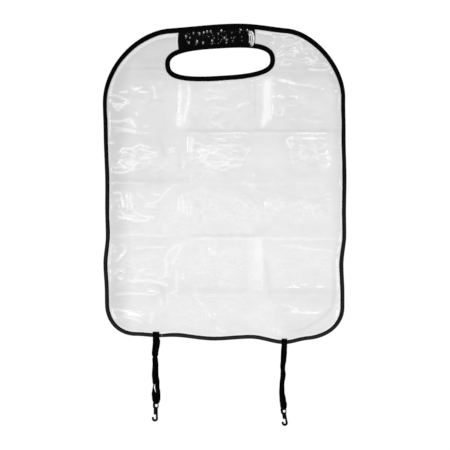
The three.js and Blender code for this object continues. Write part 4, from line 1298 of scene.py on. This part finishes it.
STITCH_PITCH = 3.2
STITCH_LENGTH = 2.5
STITCH_RADIUS = 0.24
STITCH_FROM_EDGE = 1.8
THREAD_STANDS = 0.12
STITCH_SIDES = 6
# Stations of a stitch: (share of its length, share of its radius, share of its sag)
STITCH_STATIONS = (
    (0, 0.35, -1), (0.18, 0.85, -0.2), (0.5, 1, 0), (0.82, 0.85, -0.2), (1, 0.35, -1),
)


def stitch(vertices, faces, start, end, radius, sag=0.15):
    """One stitch, a small bowed capsule from start to end."""
    start, end = Vector(start), Vector(end)
    along = (end - start).normalized()
    side = along.cross(Vector((0, 0, 1))).normalized()
    up = side.cross(along)
    first = len(vertices)
    for share, fat, drop in STITCH_STATIONS:
        centre = start.lerp(end, share) + Vector((0, 0, drop * sag))
        for k in range(STITCH_SIDES):
            turn = 2 * math.pi * k / STITCH_SIDES
            around = side * math.cos(turn) + up * math.sin(turn)
            vertices.append(tuple(centre + around * radius * fat))
    ends_in = tube_faces(len(STITCH_STATIONS), STITCH_SIDES, first=first)
    faces.extend(face[::-1] for face in ends_in)


def tape_stitching(name, edge, width_at, closed):
    """A row of stitches along the tape's inner edge, above and below."""
    fine = respaced(edge, STITCH_PITCH, closed)
    depth = width_at(fine[:, 1]) - STITCH_FROM_EDGE
    row = fine + inward_normals(fine, closed) * depth[:, None]
    spans = list(zip(row, np.roll(row, -1, 0)))[:None if closed else -1]
    vertices, faces = [], []
    for a, b in spans:
        step = b - a
        share = STITCH_LENGTH / max(math.hypot(*step), 1e-6)
        margin = step * (1 - min(share, 0.85)) / 2
        p, q = a + margin, b - margin
        top = BINDING_HEIGHT + float(lift(*p)) + THREAD_STANDS
        stitch(vertices, faces, (*p, top), (*q, top), STITCH_RADIUS)
    for a, b in spans:
        margin = (b - a) * 0.1
        stitch(
            vertices, faces, (*(a + margin), THREAD_STANDS), (*(b - margin), THREAD_STANDS),
            STITCH_RADIUS / 2, 0)
    return mesh_piece(name, vertices, faces, thread_material)


# Headrest band

BAND_STEP = 1.25
BAND_ROWS = 61
BAND_RIB_PITCH = 2.4
BAND_RIB_HEIGHT = 0.1


def headrest_band():
    columns = np.arange(BAND_LEFT, BAND_RIGHT + 0.01, BAND_STEP)
    shares = np.linspace(0, 1, BAND_ROWS)
    vertices, places, wear_and_painted_light = [], [], []
    for side in (1, 0):
        for i, column in enumerate(columns):
            for share in shares:
                bow = 4 * BAND_END_BOW * share * (1 - share)
                t = i / (len(columns) - 1)
                x = (BAND_LEFT - bow) * (1 - t) + (BAND_RIGHT + bow) * t
                low_y = np.interp(x, *slot_upper.T) + EDGE_INSET
                high_y = np.interp(x, *crown_part.T) - EDGE_INSET
                y = low_y + (high_y - low_y) * share
                ribbed = math.sin(math.pi * share * (high_y - low_y) / BAND_RIB_PITCH)
                sunk = BAND_RIB_HEIGHT * (1 - abs(ribbed))
                z = EDGE_GAP + (BAND_THICKNESS - sunk if side else sunk)
                vertices.append((x, y, z))
                places.append((column, share * (high_y - low_y), 0))
                wear_and_painted_light.append(0.0)
    n, m = len(columns), len(shares)
    faces = []
    for i in range(n - 1):
        for k in range(m - 1):
            a = i * m + k
            faces.append((a, a + m, a + m + 1, a + 1))
            b = n * m + a
            faces.append((b, b + 1, b + m + 1, b + m))
    lower = n * m
    for i in range(n - 1):
        for k in (0, m - 1):
            a, b = i * m + k, (i + 1) * m + k
            quad = (a, lower + a, lower + b, b)
            faces.append(quad if k == 0 else quad[::-1])
    for k in range(m - 1):
        for i in (0, n - 1):
            a, b = i * m + k, i * m + k + 1
            quad = (a, b, lower + b, lower + a)
            faces.append(quad if i == 0 else quad[::-1])
    return mesh_piece(
        "ribbed_headrest_band", vertices, faces, elastic_material,
        attributes={"webbing_place": places, "wear_and_painted_light": wear_and_painted_light})


# Straps

RIB_COUNT = 5
# Painted sheen along the strap's middle
STRAP_PAINTED_SHEEN = 0.16
STRAP_STEPS = 97
STRAP_TURN_STEPS = 14


def webbing_ring():
    """Section of ribbed elastic: (share across, share up) round the ring."""
    across = np.linspace(-1, 1, 4 * RIB_COUNT + 1)
    up = 0.72 + 0.28 * np.abs(np.sin(math.pi * RIB_COUNT * (across + 1) / 2))
    return [*zip(across, up), *zip(across[::-1], -up[::-1])]


def strap_path(strap):
    """Places along one strap's loop: (centre, width, heading)."""
    half = STRAP_THICKNESS / 2
    length, heading = strap.length, math.radians(strap.turn)

    def risen(below):
        return float(ramp(below, length - STRAP_RISE_START, length - STRAP_RISE_END))

    def lower_level(below):
        on_binding = BINDING_HEIGHT + CLEARANCE + half
        return on_binding + (half - on_binding) * float(ramp(below, 1, STRAP_OVERLAP + 2))

    def upper_level(below):
        stacked = lower_level(below) + STRAP_THICKNESS + CLEARANCE
        return stacked + (BAR_LEVEL + TURN_RADIUS + half - stacked) * risen(below)

    def place(below, side, level):
        drift, spread = (float(eased_through(strap.route, below / length, k)) for k in (1, 2))
        x = strap.position + drift + side * spread
        return np.array([x, bottom_edge_at(strap.position) - below, level])

    def strand(side, level_at):
        points = []
        for below in np.linspace(-STRAP_OVERLAP, length, STRAP_STEPS):
            narrowed = float(ramp(below, length - STRAP_NARROWING, length))
            width = STRAP_WIDTH + (STRAP_AT_BAR - STRAP_WIDTH) * narrowed
            if side > 0:
                width *= float(eased_through(strap.route, below / length, 3))
            points.append((place(below, side, level_at(below)), width, heading * risen(below)))
        return points

    bend = []
    radius = TURN_RADIUS + half
    for i in range(1, STRAP_TURN_STEPS):
        angle = math.pi * i / STRAP_TURN_STEPS
        gathered = float(eased(2 * math.sin(angle) ** 2))
        side = math.cos(angle) * (1 - gathered)
        point = place(length, side, BAR_LEVEL + radius * math.cos(angle))
        point[0] += radius * math.sin(angle) * math.sin(heading)
        point[1] -= radius * math.sin(angle) * math.cos(heading)
        bend.append((point, STRAP_AT_BAR + (STRAP_NECK - STRAP_AT_BAR) * gathered, heading))
    return strand(1, upper_level) + bend + strand(-1, lower_level)[::-1]


def strap_piece(name, strap):
    path = strap_path(strap)
    ring = webbing_ring()
    vertices, places, wear_and_painted_light = [], [], []
    reach = 0.0
    for i, (point, width, heading) in enumerate(path):
        before = path[max(i - 1, 0)][0]
        after = path[min(i + 1, len(path) - 1)][0]
        reach += float(np.linalg.norm(point - before))
        sideways = np.array([math.cos(heading), math.sin(heading), 0])
        along = after - before
        along = along - sideways * along.dot(sideways)
        along /= np.linalg.norm(along)
        normal = np.cross(sideways, along)
        for u, v in ring:
            section = sideways * (u * width / 2) + normal * (v * STRAP_THICKNESS / 2)
            vertices.append(tuple(point + section))
            places.append((reach, u * STRAP_WIDTH / 2, 0))
            # Painted sheen, strongest along the strap's middle
            wear_and_painted_light.append(STRAP_PAINTED_SHEEN * math.exp(-0.5 * (u / 0.3) ** 2))
    return mesh_piece(
        name, vertices, tube_faces(len(path), len(ring)), elastic_material,
        attributes={"webbing_place": places, "wear_and_painted_light": wear_and_painted_light})


TACK_ROWS = (2.2, 7.4)
TACK_COUNT = 13
TACK_HEIGHT = 0.9
TACK_MARGIN = 0.8
TACK_RADIUS = 0.28
TACK_SAG = 0.1
TACK_STANDS = 0.15


def tack_stitches(name, strap):
    """Zigzag thread that tacks both ends of a strap to the binding."""
    spread = float(eased_through(strap.route, 0, 2))
    reach = spread + STRAP_WIDTH / 2 - TACK_MARGIN
    corners = np.linspace(strap.position - reach, strap.position + reach, TACK_COUNT + 1)
    lower_top = BINDING_HEIGHT + CLEARANCE + STRAP_THICKNESS + TACK_STANDS
    upper_top = lower_top + STRAP_THICKNESS + CLEARANCE
    vertices, faces = [], []
    for row_height in TACK_ROWS:
        middle = bottom_edge_at(strap.position) + row_height
        for i, (x0, x1) in enumerate(zip(corners[:-1], corners[1:])):
            swing = TACK_HEIGHT if i % 2 else -TACK_HEIGHT
            on_upper = (x0 + x1) / 2 > strap.position + spread - STRAP_WIDTH / 2
            z = upper_top if on_upper else lower_top
            stitch(
                vertices, faces, (x0, middle + swing, z), (x1, middle - swing, z),
                TACK_RADIUS, TACK_SAG)
    return mesh_piece(name, vertices, faces, thread_material)


# Hooks

HOOK_ROUNDING = 0.3
EYE_LEFT_BAR = 4.6
EYE_RIGHT_BAR = 2.0
EYE_CORNER = 1.6
NECK_WIDTH = 8.0
HOOK_STOCK = 4.3
HOOK_MOUTH = 3.6
HOOK_LEG = 7.8
HOOK_TIP_RISE = 0.9
HOOK_SWAY = 0.4
HOOK_SHARP_ANGLE = 38


def arc(x, y, radius, start, end, steps=14):
    turns = np.radians(np.linspace(start, end, steps))
    return [(x + radius * math.cos(turn), y + radius * math.sin(turn)) for turn in turns]


def hook_outline(eye_length, neck_length):
    """Outline and hole of a hook that lies flat, with its origin on the eye's bar."""
    half_hole = STRAP_NECK / 2 + CLEARANCE
    left, right = -half_hole - EYE_LEFT_BAR, half_hole + EYE_RIGHT_BAR
    top, corner = EYE_BAR / 2, EYE_CORNER + EYE_RIGHT_BAR / 2
    hole_bottom = -top - eye_length
    neck_bottom = hole_bottom - neck_length
    neck_left = (left + right - NECK_WIDTH) / 2
    neck_right = neck_left + NECK_WIDTH
    inner, outer = HOOK_MOUTH / 2, HOOK_MOUTH / 2 + HOOK_STOCK
    x, y = neck_right + HOOK_SWAY - outer, neck_bottom - HOOK_LEG
    edge = [
        *arc(x, y, outer, 0, -180, 28),
        *arc(x - inner - HOOK_STOCK / 2, y + HOOK_TIP_RISE, HOOK_STOCK / 2, 180, 0),
        *arc(x, y, inner, -180, 0, 22), (x + inner, neck_bottom), (neck_left, neck_bottom),
        (neck_left, hole_bottom - EYE_BAR), (left, hole_bottom),
        *arc(left + corner, top - corner, corner, 180, 90),
        *arc(right - corner, top - corner, corner, 90, 0),
        (right, hole_bottom), (neck_right, hole_bottom - EYE_BAR), (neck_right, neck_bottom),
    ]
    round_x, round_y = half_hole - EYE_CORNER, hole_bottom + EYE_CORNER
    hole = [
        (half_hole, -top), *arc(round_x, round_y, EYE_CORNER, 0, -90),
        *arc(-round_x, round_y, EYE_CORNER, -90, -180), (-half_hole, -top),
    ]
    return edge, hole


def hook_piece(name, strap):
    """A moulded hook with rounded edges, hung on the strap's turn with its foot on the surface."""
    curve = bpy.data.curves.new(name + "_outline", "CURVE")
    curve.dimensions = "2D"
    curve.fill_mode = "BOTH"
    curve.extrude = HOOK_THICKNESS / 2 - HOOK_ROUNDING
    curve.bevel_depth = HOOK_ROUNDING
    curve.bevel_resolution = 3
    curve.offset = -HOOK_ROUNDING
    for ring in hook_outline(strap.eye_length, strap.neck_length):
        spline = curve.splines.new("POLY")
        spline.points.add(len(ring) - 1)
        spline.points.foreach_set("co", np.array([(x, y, 0, 1) for x, y in ring]).ravel())
        spline.use_cyclic_u = True
    flat = bpy.data.objects.new(name + "_outline", curve)
    bpy.context.scene.collection.objects.link(flat)
    made = bpy.data.meshes.new_from_object(flat)
    points = np.array([vertex.co for vertex in made.vertices])
    faces = [tuple(face.vertices) for face in made.polygons]
    bpy.data.objects.remove(flat)
    bpy.data.curves.remove(curve)
    bpy.data.meshes.remove(made)
    reach = (
        EYE_BAR / 2 + strap.eye_length + strap.neck_length + HOOK_LEG + HOOK_MOUTH / 2 + HOOK_STOCK)
    half = HOOK_THICKNESS / 2
    tilt = math.asin(BAR_LEVEL / math.hypot(reach, half)) - math.atan2(half, reach)
    x, y, z = points.T
    y, z = turned(y, z, tilt)
    x, y = turned(x, y, math.radians(strap.turn))
    x = x + strap.position + float(eased_through(strap.route, 1))
    y = y + bottom_edge_at(strap.position) - strap.length
    piece = mesh_piece(name, np.column_stack([x, y, z + BAR_LEVEL]), faces, hook_material)
    piece.data.set_sharp_from_angle(angle=math.radians(HOOK_SHARP_ANGLE))
    return piece


film = film_piece()
tuck = film_tuck()
outer_tape = folded_tape("edge_tape", outline, binding_width, False)
slot_tape = folded_tape("opening_tape", slot_outline, opening_binding_width, True)
edge_stitching = tape_stitching("edge_stitching", outline, binding_width, False)
opening_stitching = tape_stitching(
    "opening_stitching", slot_outline, opening_binding_width, True)
band = headrest_band()
left_strap = strap_piece("left_webbing_strap", LEFT_STRAP)
right_strap = strap_piece("right_webbing_strap", RIGHT_STRAP)
left_hook = hook_piece("left_moulded_hook", LEFT_STRAP)
right_hook = hook_piece("right_moulded_hook", RIGHT_STRAP)
left_tack = tack_stitches("left_strap_tack", LEFT_STRAP)
right_tack = tack_stitches("right_strap_tack", RIGHT_STRAP)

# Pieces grouped under material slot names, each with the part's node that it replaces; each piece is
# attached to the root and the node it replaces is hidden
slots = {
    "clear_film": [(film, "clear_sheet"), (tuck, None)],
    "binding_tape": [
        (outer_tape, "outer_binding"), (slot_tape, "opening_binding"), (edge_stitching, None),
        (opening_stitching, None)],
    "elastic_webbing": [
        (band, "headrest_band"), (left_strap, "left_strap"), (right_strap, "right_strap"),
        (left_tack, None), (right_tack, None)],
    "hook_plastic": [(left_hook, "left_hook"), (right_hook, "right_hook")],
}
for slot_name, pieces in slots.items():
    for piece, node in pieces:
        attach(piece, "root")
        if node:
            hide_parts(node)


# Floor, world, lamps and camera

FLOOR_REACH = 9.0
FLOOR_DEPTH = 0.0003
FLOOR_GLOW = 1.1
GLOW_SHARE = 0.8


def floor_piece():
    """Pale floor that stays bright where the camera, gloss or clear film shows it."""
    mesh = bpy.data.meshes.new("studio_floor")
    corners = [(x * FLOOR_REACH, y * FLOOR_REACH, -FLOOR_DEPTH)
               for x, y in ((-1, -1), (1, -1), (1, 1), (-1, 1))]
    mesh.from_pydata(corners, [], [(0, 1, 2, 3)])
    material = bpy.data.materials.new("pale_floor")
    material.use_nodes = True
    tree = material.node_tree
    tree.nodes.clear()
    output = tree.nodes.new("ShaderNodeOutputMaterial")
    diffuse = tree.nodes.new("ShaderNodeBsdfDiffuse")
    feed(tree, diffuse, {"Color": (0.9, 0.9, 0.9, 1)})
    glow = tree.nodes.new("ShaderNodeEmission")
    feed(tree, glow, {"Color": (1, 1, 1, 1), "Strength": FLOOR_GLOW})
    path = tree.nodes.new("ShaderNodeLightPath")
    seen = math_node(tree, "MAXIMUM", path.outputs["Is Camera Ray"], path.outputs["Is Glossy Ray"])
    seen = math_node(tree, "MAXIMUM", seen, path.outputs["Is Transmission Ray"])
    mix = tree.nodes.new("ShaderNodeMixShader")
    feed(tree, mix, {
        0: math_node(tree, "MULTIPLY", seen, GLOW_SHARE), 1: diffuse.outputs[0], 2: glow.outputs[0],
    })
    feed(tree, output, {"Surface": mix.outputs[0]})
    mesh.materials.append(material)
    floor = bpy.data.objects.new("studio_floor", mesh)
    bpy.context.scene.collection.objects.link(floor)


def studio_world():
    """Pale walls and a darker ceiling, so that gloss seen from above stays deep."""
    world = bpy.data.worlds.new("pale_studio")
    world.use_nodes = True
    tree = world.node_tree
    tree.nodes.clear()
    place = tree.nodes.new("ShaderNodeTexCoord")
    split = tree.nodes.new("ShaderNodeSeparateXYZ")
    feed(tree, split, {0: place.outputs["Generated"]})
    height = tree.nodes.new("ShaderNodeMapRange")
    height.interpolation_type = "SMOOTHSTEP"
    feed(tree, height, {
        "Value": split.outputs[2], "From Min": 0.12, "From Max": 0.6, "To Min": 0.0, "To Max": 1.0,
    })
    background = tree.nodes.new("ShaderNodeBackground")
    feed(tree, background, {
        "Color": mix_colour(tree, height.outputs[0], (1, 1, 1, 1), (0.05, 0.05, 0.05, 1)),
        "Strength": 1.0,
    })
    output = tree.nodes.new("ShaderNodeOutputWorld")
    feed(tree, output, {"Surface": background.outputs[0]})
    bpy.context.scene.world = world


def lamp_ring(name, count, radius, height, size, size_y, radiance):
    """Area lamps in a ring, all aimed at the middle of the mat."""
    for index in range(count):
        angle = 2 * math.pi * (index + 0.5) / count
        light = bpy.data.lights.new(f"{name}_{index + 1}", "AREA")
        light.shape = "RECTANGLE"
        light.size, light.size_y = size, size_y
        light.energy = radiance * math.pi * size * size_y
        lamp = bpy.data.objects.new(f"{name}_{index + 1}", light)
        lamp.location = (radius * math.cos(angle), radius * math.sin(angle), height)
        lamp.rotation_mode = "QUATERNION"
        lamp.rotation_quaternion = (-lamp.location).to_track_quat("-Z", "Y")
        bpy.context.scene.collection.objects.link(lamp)


floor_piece()
studio_world()
lamp_ring("ring_strip", count=8, radius=1.12, height=2.2, size=0.82, size_y=0.35, radiance=3.6)
lamp_ring("side_panel", count=4, radius=2.2, height=2.0, size=1.2, size_y=0.9, radiance=3.2)

camera_data = bpy.data.cameras.new("overhead_camera")
camera_data.sensor_width = 36
camera_data.lens = 121.74
camera = bpy.data.objects.new("overhead_camera", camera_data)
camera.location = (0.0007, -0.0007, 3.0)
bpy.context.scene.collection.objects.link(camera)
bpy.context.scene.camera = camera
bpy.context.scene.view_settings.view_transform = "Standard"

bpy.context.view_layer.update()
